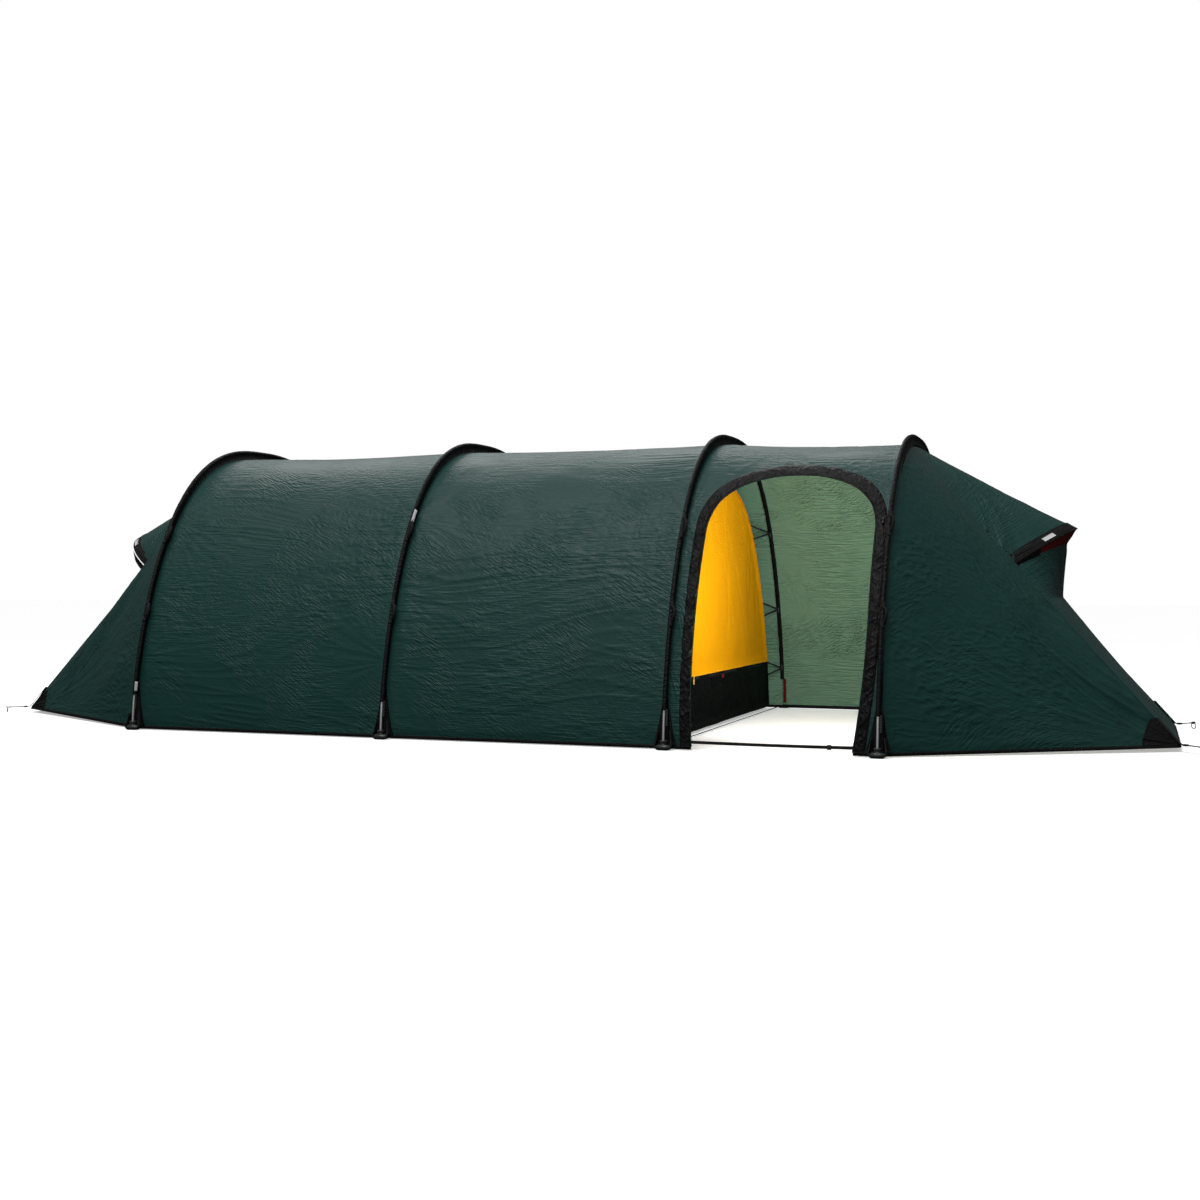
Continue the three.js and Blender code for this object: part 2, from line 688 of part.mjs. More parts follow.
// The door's zip slider, at the foot of the opening's edge next to hoop 3, with its hanging pull.
function doorZipSlider() {
  const { at, out } = nearWall(DOOR_X - DOOR.halfWidth + 6, 90);
  const way = vec(0, out.z, -out.y);
  const place = (up, off) => at.clone().addScaledVector(way, up).addScaledVector(out, off);
  const half = ZIP_SLIDER.thickness / 2;
  const stations = [
    [ZIP_SLIDER.length / 2, ZIP_SLIDER.width],
    [-ZIP_SLIDER.length / 2, ZIP_SLIDER.width * 0.7],
    [-ZIP_SLIDER.length / 2 - ZIP_SLIDER.pull, ZIP_SLIDER.width * 0.4],
  ];
  return sweep(
    stations.map(([up]) => ({
      at: place(up, 0).add(vec(9, 0, 0)),
      u: vec(1, 0, 0),
      v: out,
    })),
    (i) => rectangle(stations[i][1], half * (i ? 1.4 : 2)),
  );
}

// Inner tent

const INNER_BACK = HOOPS[0].x + INNER.gap;
const INNER_FRONT = HOOPS[2].x - INNER.gap;

// The inner tent's cross-section above a height, drawn in by an inset.
function innerOutline(low, high, inset) {
  const from = low <= BASE ? 0 : INNER_ARCH.atHeight(low);
  const to = high ? INNER_ARCH.atHeight(high) : 0.5;
  const steps = high ? 4 : ARCH_STEPS / 2;
  const side = [];
  for (let i = 0; i <= steps; i++) {
    const share = mix(from, to, i / steps);
    const at = INNER_ARCH.at(share).addScaledVector(INNER_ARCH.normal(share), -inset);
    side.push([at.y, i === 0 ? low : at.z]);
  }
  const mirrored = side.map(([y, z]) => [-y, z]).reverse();
  return high ? [...side, ...mirrored] : [...side, ...mirrored.slice(1)];
}

function alongX(from, to, section) {
  const stations = [from, to].map((x) => ({ at: vec(x, 0, 0), u: vec(0, 1, 0), v: vec(0, 0, 1) }));
  return sweep(stations, () => section);
}

// The yellow canopy: arched walls over the tub and the rear wall, open to the front.
function innerCanopy() {
  const low = TUB.height + GAP;
  const outer = alongX(INNER_BACK, INNER_FRONT - FABRIC - GAP, innerOutline(low, 0, 0));
  const room = alongX(INNER_BACK + FABRIC, INNER_FRONT + 50, innerOutline(low - 5, 0, FABRIC));
  return cut(outer, room);
}

function innerFrontWall() {
  const section = innerOutline(TUB.height + GAP, 0, 0);
  return alongX(INNER_FRONT - FABRIC, INNER_FRONT, section);
}

// The floor with its raised walls, like a tub.
function innerTub() {
  const outer = alongX(INNER_BACK, INNER_FRONT, innerOutline(TUB.floor - FABRIC, TUB.height, 0));
  const room = alongX(
    INNER_BACK + FABRIC,
    INNER_FRONT - FABRIC,
    innerOutline(TUB.floor, TUB.height + 10, FABRIC),
  );
  return cut(outer, room);
}

// The slider of the inner door's zip, which runs level across the front wall, with its tab.
function innerZipSlider() {
  const x = INNER_FRONT + 0.8;
  const stations = [
    { at: vec(x, INNER_ZIP.y, INNER_ZIP.z + 7), size: [4, 14] },
    { at: vec(x, INNER_ZIP.y, INNER_ZIP.z - 7), size: [4, 12] },
    { at: vec(x, INNER_ZIP.y, INNER_ZIP.z - 10), size: [3, 16] },
    { at: vec(x, INNER_ZIP.y, INNER_ZIP.z - 30), size: [3, 16] },
  ];
  return sweep(
    stations.map(({ at, size }) => ({
      at: at.clone().add(vec(size[0] / 2, 0, 0)),
      u: vec(1, 0, 0),
      v: vec(0, 1, 0),
    })),
    (i) => rectangle(...stations[i].size),
  );
}

// An elastic tie: two legs from the inner tent's edge to one point under the sleeve of hoop 3, on the far side.
function elasticTie(level) {
  const cloth = clothArch(HOOPS[2]);
  const share = 1 - cloth.atHeight(level + BASE);
  const inside = cloth.normal(share).multiplyScalar(-(FABRIC / 2 + 1 + TIE.radius));
  const hook = cloth.at(share).add(inside).setX(HOOPS[2].x);
  const leg = (offset) => {
    const innerShare = 1 - INNER_ARCH.atHeight(hook.z + offset);
    const edge = INNER_ARCH.at(innerShare);
    edge.addScaledVector(INNER_ARCH.normal(innerShare), TIE.radius + 1);
    return cord([edge.setX(INNER_FRONT - 6), hook], TIE.radius);
  };
  const knot = new THREE.SphereGeometry(TIE.radius * 2, 8, 6).translate(hook.x, hook.y, hook.z);
  const inward = cloth.normal(share).multiplyScalar(-TIE.radius * 1.2);
  knot.translate(inward.x, inward.y, inward.z);
  return joined(leg(-TIE.spread), leg(TIE.spread), knot);
}

function groundCord() {
  const x = HOOPS[2].x - GROUND_CORD.back;
  const reach = HOOP.halfWidth - INSET.side - 10;
  const points = [vec(x, -reach, GROUND_CORD.z), vec(x, reach, GROUND_CORD.z)];
  return cord(points, GROUND_CORD.radius);
}

// Materials

const paint = (color, roughness, metalness = 0) => () =>
  new THREE.MeshStandardMaterial({ color, roughness, metalness });
const flysheet = paint(0x24443f, 0.55);
const blackCloth = paint(0x1a1a1b, 0.8);
const webbing = paint(0x141415, 0.85);
const plastic = paint(0x222224, 0.45);
const aluminium = paint(0xb4b7ba, 0.35, 0.9);
const steel = paint(0xc8cacc, 0.25, 1);
const ventRed = paint(0x4a1210, 0.7);
const yellowCloth = paint(0xe09c1a, 0.7);
const tubCloth = paint(0x101011, 0.6);
const zipYellow = paint(0xf2b21c, 0.5);

// Assembly

const tent = new THREE.Group();
function add(name, geometry, material) {
  const mesh = new THREE.Mesh(geometry, material());
  mesh.name = name;
  tent.add(mesh);
}

add("outer_span_rear", spanSheet(HOOPS[0], HOOPS[1]), flysheet);
add("outer_span_middle", spanSheet(HOOPS[1], HOOPS[2]), flysheet);
add("outer_span_door", doorSpan(), flysheet);

HOOPS.forEach((hoop, i) => {
  add(`hoop_pole_${i + 1}`, hoopPole(hoop), aluminium);
  add(`pole_sleeve_${i + 1}`, sleeve(hoop), blackCloth);
  for (const [name, side] of SIDES) {
    add(`pole_cup_${i + 1}_${name}`, cup(hoop, side), plastic);
    add(`foot_sling_${i + 1}_${name}`, sling(hoop, side), webbing);
  }
});

for (const [place, end, hoop] of [
  ["front", FRONT, HOOPS[3]],
  ["rear", REAR, HOOPS[0]],
]) {
  add(`outer_vestibule_${place}`, vestibuleCloth(end, hoop), flysheet);
  add(`end_wall_${place}`, endWall(end, hoop), flysheet);
  add(`hood_rim_${place}`, hoodRim(end, hoop), blackCloth);
  add(`hood_vent_${place}`, ventCloth(end, hoop), ventRed);
  for (const [name, side] of SIDES) {
    add(`corner_strap_${place}_${name}`, cornerStrap(end, hoop, side), webbing);
    add(`strap_buckle_${place}_${name}`, strapBuckle(end, hoop, side), plastic);
    add(`stake_ring_${place}_${name}`, stakeRing(end, hoop, side), steel);
  }
}

add("door_band", doorBand(), blackCloth);
add("door_sill_strap", sillStrap(), webbing);
add("door_sill_adjuster", sillAdjuster(), plastic);
add("door_toggle", doorToggle(), plastic);
add("door_zip_slider", doorZipSlider(), plastic);

add("inner_canopy", innerCanopy(), yellowCloth);
add("inner_front_wall", innerFrontWall(), yellowCloth);
add("inner_floor_tub", innerTub(), tubCloth);
add("inner_zip_slider", innerZipSlider(), zipYellow);
TIE.levels.forEach((level, i) => {
  add(`elastic_tie_${i + 1}`, elasticTie(level), webbing);
});
add("ground_cord", groundCord(), webbing);

export default tent;
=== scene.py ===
import math

import bpy
import numpy as np
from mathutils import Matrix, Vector


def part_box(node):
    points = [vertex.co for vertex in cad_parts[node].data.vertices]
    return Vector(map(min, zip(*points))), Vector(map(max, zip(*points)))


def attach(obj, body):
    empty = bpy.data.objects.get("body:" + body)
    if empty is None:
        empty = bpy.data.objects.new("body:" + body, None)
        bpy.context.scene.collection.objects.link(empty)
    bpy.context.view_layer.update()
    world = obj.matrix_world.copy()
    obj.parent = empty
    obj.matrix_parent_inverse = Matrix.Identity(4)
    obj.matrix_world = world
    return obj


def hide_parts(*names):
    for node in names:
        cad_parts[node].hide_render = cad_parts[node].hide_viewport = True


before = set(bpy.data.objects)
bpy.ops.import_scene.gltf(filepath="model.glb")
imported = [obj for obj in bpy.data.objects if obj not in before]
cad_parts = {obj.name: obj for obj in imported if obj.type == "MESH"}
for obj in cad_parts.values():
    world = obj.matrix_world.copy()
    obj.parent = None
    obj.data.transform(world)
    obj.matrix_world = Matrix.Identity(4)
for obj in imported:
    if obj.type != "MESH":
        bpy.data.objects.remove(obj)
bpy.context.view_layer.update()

# Driving dimensions, the same as the CAD model's

BASE = 0.015  # height of the hem and of the hoops' springing line
SIDE_POWER, TOP_POWER = 2.73, 1.56  # every arch is |y / half| ** SIDE_POWER + (z / high) ** TOP_POWER = 1
POLE_RADIUS = 0.005
SIDE_INSET, TOP_INSET = 0.022, 0.035  # the cloth hangs this far inside the poles
RIDGE_SAG = 0.010
SEAM_GAP = 0.0004  # between two panels, under the hoop's sleeve

HOOP_BOXES = [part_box(f"hoop_pole_{i}") for i in (1, 2, 3, 4)]
HOOP_X = [(low.x + high.x) / 2 for low, high in HOOP_BOXES]
HOOP_HALF = HOOP_BOXES[0][1].y - POLE_RADIUS
HOOP_HIGH = [high.z - POLE_RADIUS - BASE for low, high in HOOP_BOXES]

FRONT = {
    "sign": 1,
    "hoop": 3,
    "corner": (1.028, 0.440, 0.026),  # reach from the hoop, half width, height
    "rim_end": (0.421, 0.340, 0.705),
    "tip": (0.645, 0.0, 0.850),
    "brim_power": 1.15,
    "brim_rise": 1.3,
}
REAR = {
    "sign": -1,
    "hoop": 0,
    "corner": (1.028, 0.440, 0.026),
    "rim_end": (0.426, 0.350, 0.708),
    "tip": (0.695, 0.0, 0.860),
    "brim_power": 2,
    "brim_rise": 1.6,
}
BRIM_FROM = 14 / 32  # share of the hoop's arch from which the cloth runs to the brim
WALL_FOLD_Z, WALL_FOLD_BOW, WALL_TOP_REACH, WALL_TOP_Z = 0.571, 0.046, 0.606, 0.792

DOOR_X = (HOOP_X[2] + HOOP_X[3]) / 2 + 0.018
DOOR_HALF, DOOR_SPRINGING, DOOR_RISE = 0.331, 0.860, 0.318
DOOR_PINCH = {-1: 0.014, 1: 0.042}
PINCH_BELOW = 0.500
BAND_SIDE, BAND_TOP = 0.042, 0.070

INNER_HALF, INNER_HIGH, INNER_TOP_POWER = 0.920, 1.060, 1.45
TUB_HEIGHT = 0.240
INNER_BACK = HOOP_X[0] + 0.050
INNER_FRONT = HOOP_X[2] - 0.050

SIDES = (("near", -1), ("far", 1))
X_WAY, Y_WAY, UP = np.eye(3)


# Noise and mesh helpers

NOISE_CELLS = 256


def smooth(t):
    return t * t * (3 - 2 * t)


def ramp(x, low, high):
    return smooth(np.clip((x - low) / (high - low), 0, 1))


def noise(u, v, seed):
    """Smooth noise from -1 to 1 with a cell of 1 in u and v."""
    table = np.random.default_rng(seed).uniform(-1, 1, (NOISE_CELLS, NOISE_CELLS))
    iu, iv = np.floor(u).astype(int), np.floor(v).astype(int)
    fu, fv = smooth(u - iu), smooth(v - iv)

    def corner(a, b):
        return table[(iu + a) % NOISE_CELLS, (iv + b) % NOISE_CELLS]

    low = corner(0, 0) * (1 - fu) + corner(1, 0) * fu
    high = corner(0, 1) * (1 - fu) + corner(1, 1) * fu
    return low * (1 - fv) + high * fv


def ridges(u, v, seed):
    """Sharp-crested folds, from 0 to 1."""
    return (1 - np.abs(noise(u, v, seed))) ** 3


def plane(u, v):
    """The values u down the rows and v across the columns of a grid."""
    return np.meshgrid(u, v, indexing="ij")


def make_object(name, points, faces, material, uv=None, flat=False):
    mesh = bpy.data.meshes.new(name)
    mesh.from_pydata(np.asarray(points, float).reshape(-1, 3).tolist(), [], faces)
    if uv is not None:
        layer = mesh.uv_layers.new(name="cloth")
        corners = np.empty(len(mesh.loops), np.int32)
        mesh.loops.foreach_get("vertex_index", corners)
        layer.data.foreach_set("uv", np.asarray(uv, np.float32).reshape(-1, 2)[corners].ravel())
    mesh.materials.append(MATERIALS[material])
    if not flat:
        mesh.polygons.foreach_set("use_smooth", np.ones(len(mesh.polygons), bool))
    mesh.update()
    made = bpy.data.objects.new(name, mesh)
    bpy.context.scene.collection.objects.link(made)
    return made


def grid_faces(rows, columns, start=0, turned=False, wrap=False):
    """Quads over a grid of rows by columns points; with wrap, the columns close on themselves."""
    i, j = plane(np.arange(rows - 1), np.arange(columns if wrap else columns - 1))
    after = (j + 1) % columns
    a, b = i * columns + j, (i + 1) * columns + j
    c, d = (i + 1) * columns + after, i * columns + after
    quads = np.stack((a, b, c, d), -1).reshape(-1, 4) + start
    return (quads[:, ::-1] if turned else quads).tolist()


def grid_normals(points):
    along = np.gradient(points, axis=0)
    across = np.gradient(points, axis=1)
    normal = np.cross(along, across)
    return normal / np.maximum(np.linalg.norm(normal, axis=-1, keepdims=True), 1e-12)


def looks_at(points, normal, place):
    """Whether the middle of a grid of points faces a place."""
    middle = (points.shape[0] // 2, points.shape[1] // 2)
    return np.dot(normal[middle], points[middle] - np.asarray(place)) < 0


def skin(name, points, material, uv, inside):
    """An open skin over a grid of points; its faces look away from the point inside."""
    turned = looks_at(points, grid_normals(points), inside)
    return make_object(name, points, grid_faces(*points.shape[:2], turned=turned), material, uv)


def shell(name, outer, inner, material, uv, turned=False):
    """A closed piece between two grids of points of the same shape."""
    rows, columns = outer.shape[:2]
    layer = rows * columns
    faces = grid_faces(rows, columns, turned=turned) + grid_faces(rows, columns, layer, turned=not turned)
    edge = [(i, 0) for i in range(rows)] + [(rows - 1, j) for j in range(1, columns)]
    edge += [(i, columns - 1) for i in range(rows - 2, -1, -1)] + [(0, j) for j in range(columns - 2, 0, -1)]
    loop = [i * columns + j for i, j in edge]
    for a, b in zip(loop, loop[1:] + loop[:1]):
        wall = [b, b + layer, a + layer, a]
        faces.append(wall[::-1] if turned else wall)
    both = np.concatenate((outer.reshape(-1, 3), inner.reshape(-1, 3)))
    return make_object(name, both, faces, material, np.concatenate((uv.reshape(-1, 2),) * 2))


def slab(name, points, material, uv, low, high, inside):
    """A closed sheet from low to high over a grid of points, measured away from the point inside."""
    normal = grid_normals(points)
    turned = looks_at(points, normal, inside)
    if turned:
        normal = -normal
    low, high = (np.broadcast_to(level, points.shape[:2])[..., None] for level in (low, high))
    return shell(name, points + normal * high, points + normal * low, material, uv, turned)


def unit(vectors):
    return vectors / np.linalg.norm(vectors, axis=1, keepdims=True)


def frames(path, up):
    """Unit vectors (side, top) across each point of a path, with top as near to up as it can be."""
    way = unit(np.gradient(path, axis=0))
    side = unit(np.cross(way, np.broadcast_to(up, path.shape)))
    return side, np.cross(side, way)


def level_basis(path, out):
    """X and the way out, for each point of a path."""
    return np.broadcast_to(X_WAY, path.shape), np.broadcast_to(out, path.shape)


def path_length(path):
    return np.concatenate(([0], np.cumsum(np.linalg.norm(np.diff(path, axis=0), axis=1))))


def sweep(name, path, section, material, up=(0, 0, 1), basis=None, caps=True):
    """A closed section swept along a path. Sections are points (across, up): one list, or one per station."""
    path = np.asarray(path, float)
    side, top = frames(path, up) if basis is None else basis
    section = np.asarray(section, float)
    if section.ndim == 2:
        section = np.broadcast_to(section, (len(path),) + section.shape)
    points = path[:, None] + side[:, None] * section[..., :1] + top[:, None] * section[..., 1:]
    count = section.shape[1]
    faces = grid_faces(len(path), count, turned=True, wrap=True)
    if caps:
        faces.append(list(range(count))[::-1])
        faces.append([(len(path) - 1) * count + k for k in range(count)])
    girth = np.linspace(0, 1, count, endpoint=False) * path_length(section[0]).max()
    v, u = plane(path_length(path), girth)
    made = make_object(name, points, faces, material, np.stack((u, v), -1))
    turn_out(made)
    return made


def turn_out(made):
    """Turns a closed piece's faces outwards."""
    mesh = made.data
    count = len(mesh.vertices)
    co = np.empty(count * 3)
    mesh.vertices.foreach_get("co", co)
    co = co.reshape(-1, 3)
    volume = sum(
        np.dot(co[f.vertices[0]], np.cross(co[f.vertices[k]], co[f.vertices[k + 1]]))
        for f in mesh.polygons
        for k in range(1, len(f.vertices) - 1)
    )
    if volume < 0:
        mesh.flip_normals()


def weld(made, threshold, turned_out=True):
    """Merges the points that lie together, so that a piece built from open grids closes."""
    bpy.ops.object.select_all(action="DESELECT")
    made.select_set(True)
    bpy.context.view_layer.objects.active = made
    bpy.ops.object.mode_set(mode="EDIT")
    bpy.ops.mesh.select_all(action="SELECT")
    bpy.ops.mesh.remove_doubles(threshold=threshold)
    if turned_out:
        bpy.ops.mesh.normals_make_consistent(inside=False)
    bpy.ops.object.mode_set(mode="OBJECT")
    return made


def ring_section(radius, count=12, flatten=1.0):
    angle = np.linspace(0, 2 * math.pi, count, endpoint=False)
    return np.stack((radius * np.cos(angle), radius * flatten * np.sin(angle)), -1)


def thick_ring(radius, count, flatten=1.0):
    """Round sections whose radius changes along a path."""
    return ring_section(1.0, count, flatten)[None] * np.asarray(radius)[:, None, None]


def strap_section(width, thickness, steps=3):
    """The rounded flat section of a webbing strap."""
    half, r = width / 2 - thickness / 2, thickness / 2
    turn = np.linspace(-math.pi / 2, math.pi / 2, steps + 1)
    right = np.stack((half + r * np.cos(turn), r * np.sin(turn)), -1)
    return np.concatenate((right, -right))


def curve_through(points, count):
    """A smooth path of count points through a few points, by Catmull-Rom."""
    p = np.asarray(points, float)
    p = np.vstack((2 * p[0] - p[1], p, 2 * p[-1] - p[-2]))
    place = np.linspace(0, len(p) - 3 - 1e-9, count)
    i = place.astype(int)
    t = (place - i)[:, None]
    a, b, c, d = p[i], p[i + 1], p[i + 2], p[i + 3]
    return 0.5 * (2 * b + (c - a) * t + (2 * a - 5 * b + 4 * c - d) * t**2 + (3 * b - a - 3 * c + d) * t**3)


def join(name, parts):
    """Joins pieces into one object, keeping their materials."""
    bpy.ops.object.select_all(action="DESELECT")
    for part in parts:
        part.select_set(True)
    bpy.context.view_layer.objects.active = parts[0]
    bpy.ops.object.join()
    parts[0].name = name
    return parts[0]


def place(made, slot, body="tent", stands_for=()):
    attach(made, body)
    if stands_for:
        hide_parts(*stands_for)
    return made


def taut_cord(made, stands_for):
    """A cord of the tent, held straight between its two ends."""
    place(made, "elastic", stands_for=stands_for)


def cut_size(points):
    """Width and length of the cloth that a grid was cut from: its longest column and row."""
    return tuple(max(path_length(line)[-1] for line in lines) for lines in (points.swapaxes(0, 1), points))


# Arches

NORMAL_STEP = 0.004  # half the share of the arch over which its normal is taken


class Arch:
    """A superellipse arch by share of its length, from 0 at the near foot to 1 at the far foot."""

    def __init__(self, half, high, top_power=TOP_POWER, samples=1441):
        angle = np.linspace(0, math.pi, samples)
        c, s = np.cos(angle), np.clip(np.sin(angle), 0, None)
        y = -half * np.sign(c) * np.abs(c) ** (2 / SIDE_POWER)
        z = BASE + high * s ** (2 / top_power)
        self.yz = np.stack((y, z), -1)
        lengths = path_length(self.yz)
        self.length = lengths[-1]
        self.shares = lengths / self.length
        shares = np.linspace(0, 1, 501)
        way = self.at(np.clip(shares + NORMAL_STEP, 0, 1)) - self.at(np.clip(shares - NORMAL_STEP, 0, 1))
        normal = np.stack((-way[:, 1], way[:, 0]), -1)
        self.normals = normal / np.linalg.norm(normal, axis=1, keepdims=True)

    def at(self, share):
        return np.stack([np.interp(share, self.shares, self.yz[:, k]) for k in (0, 1)], -1)

    def normal(self, share):
        grid = np.linspace(0, 1, len(self.normals))
        return np.stack([np.interp(share, grid, self.normals[:, k]) for k in (0, 1)], -1)

    def at_height(self, z):
        """Share at which the near side reaches a height."""
        near = self.shares <= 0.5
        return np.interp(z, self.yz[near, 1], self.shares[near])


def cloth_arch(high, sag=0.0):
    """The cloth's arch under a hoop of this height, with its sag between hoops."""
    return Arch(HOOP_HALF - SIDE_INSET - 0.4 * sag, high - TOP_INSET - sag)


def in_3d(x, yz):
    """Points or ways (y, z) with an x put in front."""
    x = np.broadcast_to(x, yz.shape[:-1])
    return np.concatenate((x[..., None], yz), -1)


POLE_ARCHES = [Arch(HOOP_HALF, high) for high in HOOP_HIGH]
CLOTH_ARCHES = [cloth_arch(high) for high in HOOP_HIGH]
INNER_ARCH = Arch(INNER_HALF, INNER_HIGH, INNER_TOP_POWER)


# Camera, light and floor

scene = bpy.context.scene
camera_data = bpy.data.cameras.new("camera")
camera_data.lens = 45.4
camera_data.sensor_width = 36
camera = bpy.data.objects.new("camera", camera_data)
camera.location = (2.476, -6.477, 0.629)
CAMERA_YAW, CAMERA_PITCH = -0.342, -0.011
look = Vector(
    (
        math.sin(CAMERA_YAW) * math.cos(CAMERA_PITCH),
        math.cos(CAMERA_YAW) * math.cos(CAMERA_PITCH),
        math.sin(CAMERA_PITCH),
    )
)
camera.rotation_euler = look.to_track_quat("-Z", "Y").to_euler()
scene.collection.objects.link(camera)
scene.camera = camera
scene.view_settings.view_transform = "Standard"


def area_light(name, location, target, size, power):
    data = bpy.data.lights.new(name, "AREA")
    data.shape = "RECTANGLE"
    data.size, data.size_y = size
    data.energy = power
    made = bpy.data.objects.new(name, data)
    made.location = location
    made.rotation_euler = (Vector(target) - Vector(location)).to_track_quat("-Z", "Y").to_euler()
    made.visible_camera = False
    scene.collection.objects.link(made)


def sun_light(name, direction, angle, power):
    data = bpy.data.lights.new(name, "SUN")
    data.energy = power
    data.angle = math.radians(angle)
    made = bpy.data.objects.new(name, data)
    made.rotation_euler = Vector(direction).to_track_quat("-Z", "Y").to_euler()
    scene.collection.objects.link(made)


sun_light("high_sun", (0.15, 0.29, -0.95), 35, 1.55)
area_light("back_top", (-2.0, 3.6, 5.0), (-1.0, -0.4, 1.0), (6.0, 2.5), 145)
area_light("key", (1.0, -7.0, 3.2), (0.4, 0.0, 0.5), (4.5, 2.0), 72)
area_light("front_top", (0.3, -3.2, 5.0), (0.2, -0.6, 0.9), (2.6, 2.0), 48)
area_light("porch", (1.20, -0.62, 0.55), (1.25, 0.95, 0.55), (0.55, 0.6), 5.4)
area_light("inner_wall", (1.50, -0.25, 0.70), (0.74, 0.0, 0.62), (0.5, 0.7), 5.5)


DIM_SKY, BRIGHT_SKY = 0.03, 0.30


def studio_world():
    """White to the camera; to the object, a soft sky that is dim at the horizon and dark below it."""
    made = bpy.data.worlds.new("studio")
    made.use_nodes = True
    tree = made.node_tree
    background = tree.nodes["Background"]
    way = tree.nodes.new("ShaderNodeTexCoord").outputs["Generated"]
    split = tree.nodes.new("ShaderNodeSeparateXYZ")
    tree.links.new(way, split.inputs["Vector"])
    climb = tree.nodes.new("ShaderNodeMapRange")
    tree.links.new(split.outputs["Z"], climb.inputs["Value"])
    for key, value in (("From Min", -0.1), ("From Max", 1.0), ("To Min", DIM_SKY), ("To Max", BRIGHT_SKY)):
        climb.inputs[key].default_value = value
    seen = tree.nodes.new("ShaderNodeLightPath").outputs["Is Camera Ray"]
    strength = tree.nodes.new("ShaderNodeMix")
    tree.links.new(seen, strength.inputs["Factor"])
    tree.links.new(climb.outputs["Result"], strength.inputs["A"])
    strength.inputs["B"].default_value = 1.0
    background.inputs["Color"].default_value = (1, 1, 1, 1)
    tree.links.new(strength.outputs["Result"], background.inputs["Strength"])
    return made


scene.world = studio_world()


# Materials

THREAD_SHARPNESS, CREST_SHARPNESS = 12.0, 6.0
FACETS_PER_METRE = 26.0
SLANT = 0.55  # radians between the level folds and the slanting ones
LEVEL_FOLDS = (6.0, 62.0, 1.0)  # folds per metre along the cloth and across it
SLANTING_FOLDS = (13.0, 75.0, 1.0)
THREAD_HEIGHT = 0.00005


def node(tree, kind, inputs=(), **settings):
    made = tree.nodes.new(kind)
    for key, value in settings.items():
        setattr(made, key, value)
    for key, value in dict(inputs).items():
        if isinstance(value, bpy.types.NodeSocket):
            tree.links.new(value, made.inputs[key])
        else:
            made.inputs[key].default_value = value
    return made


def math_node(tree, operation, a, b=0.0):
    return node(tree, "ShaderNodeMath", {0: a, 1: b}, operation=operation).outputs[0]


def vector_node(tree, operation, inputs):
    return node(tree, "ShaderNodeVectorMath", inputs, operation=operation).outputs["Vector"]


def mapped(tree, source, scale=(1, 1, 1), turn=0.0):
    inputs = {"Vector": source, "Scale": scale, "Rotation": (0, 0, turn)}
    return node(tree, "ShaderNodeMapping", inputs).outputs["Vector"]


def in_cloth(tree):
    """The cloth's own coordinates, in metres."""
    return node(tree, "ShaderNodeUVMap", uv_map="cloth").outputs["UV"]


def in_body(tree):
    return node(tree, "ShaderNodeTexCoord").outputs["Object"]


def noise_node(tree, vector, scale, detail=4.0, rough=0.55):
    inputs = {"Vector": vector, "Scale": scale, "Detail": detail, "Roughness": rough}
    return node(tree, "ShaderNodeTexNoise", inputs).outputs["Fac"]


def mix_color(tree, factor, a, b):
    made = node(tree, "ShaderNodeMix", data_type="RGBA")
    for key, kind, value in (("Factor", "VALUE", factor), ("A", "RGBA", a), ("B", "RGBA", b)):
        socket = next(s for s in made.inputs if s.name == key and s.type == kind)
        if isinstance(value, bpy.types.NodeSocket):
            tree.links.new(value, socket)
        else:
            socket.default_value = value
    return next(s for s in made.outputs if s.type == "RGBA")


def span_node(tree, value, low, high):
    """Maps 0..1 to low..high."""
    return node(tree, "ShaderNodeMapRange", {"Value": value, "To Min": low, "To Max": high}).outputs["Result"]


def bump_chain(tree, heights):
    """Stacks bumps: each entry is (height socket, depth in metres)."""
    normal = None
    for height, depth in heights:
        made = node(tree, "ShaderNodeBump", {"Height": height, "Distance": depth, "Strength": 1.0})
        if normal is not None:
            tree.links.new(normal, made.inputs["Normal"])
        normal = made.outputs["Normal"]
    return normal


def start_material(name, **settings):
    made = bpy.data.materials.new(name)
    made.use_nodes = True
    tree = made.node_tree
    for key, value in settings.items():
        tree.nodes["Principled BSDF"].inputs[key.replace("_", " ")].default_value = value
    return made, tree


def dress(tree, tone, rough, heights=()):
    """Gives a material its colour, its roughness and its bumps."""
    shader = tree.nodes["Principled BSDF"]
    tree.links.new(tone, shader.inputs["Base Color"])
    tree.links.new(rough, shader.inputs["Roughness"])
    if heights:
        tree.links.new(bump_chain(tree, heights), shader.inputs["Normal"])


def shade(color, k):
    return tuple(min(c * k, 1) for c in color) + (1,)


def thread_grid(tree, uv, pitch):
    """Lines of a square grid in the cloth's own coordinates, 1 on a line."""
    lines = []
    for axis in ("X", "Y"):
        part = node(tree, "ShaderNodeSeparateXYZ", {"Vector": uv}).outputs[axis]
        wave = math_node(tree, "SINE", math_node(tree, "MULTIPLY", part, 2 * math.pi / pitch))
        lines.append(math_node(tree, "POWER", math_node(tree, "MAXIMUM", wave, 0.0), THREAD_SHARPNESS))
    return math_node(tree, "MAXIMUM", *lines)


def wandering(tree, vector, body, scale=1.7, amount=0.06):
    """Coordinates with a slowly wandering offset, which keeps folds from running dead straight."""
    inputs = {"Vector": body, "Scale": scale, "Detail": 1.0}
    wander = node(tree, "ShaderNodeTexNoise", inputs).outputs["Color"]
    centred = vector_node(tree, "SUBTRACT", {0: wander, 1: (0.5, 0.5, 0.5)})
    offset = vector_node(tree, "SCALE", {0: centred, "Scale": amount})
    return vector_node(tree, "ADD", {0: vector, 1: offset})


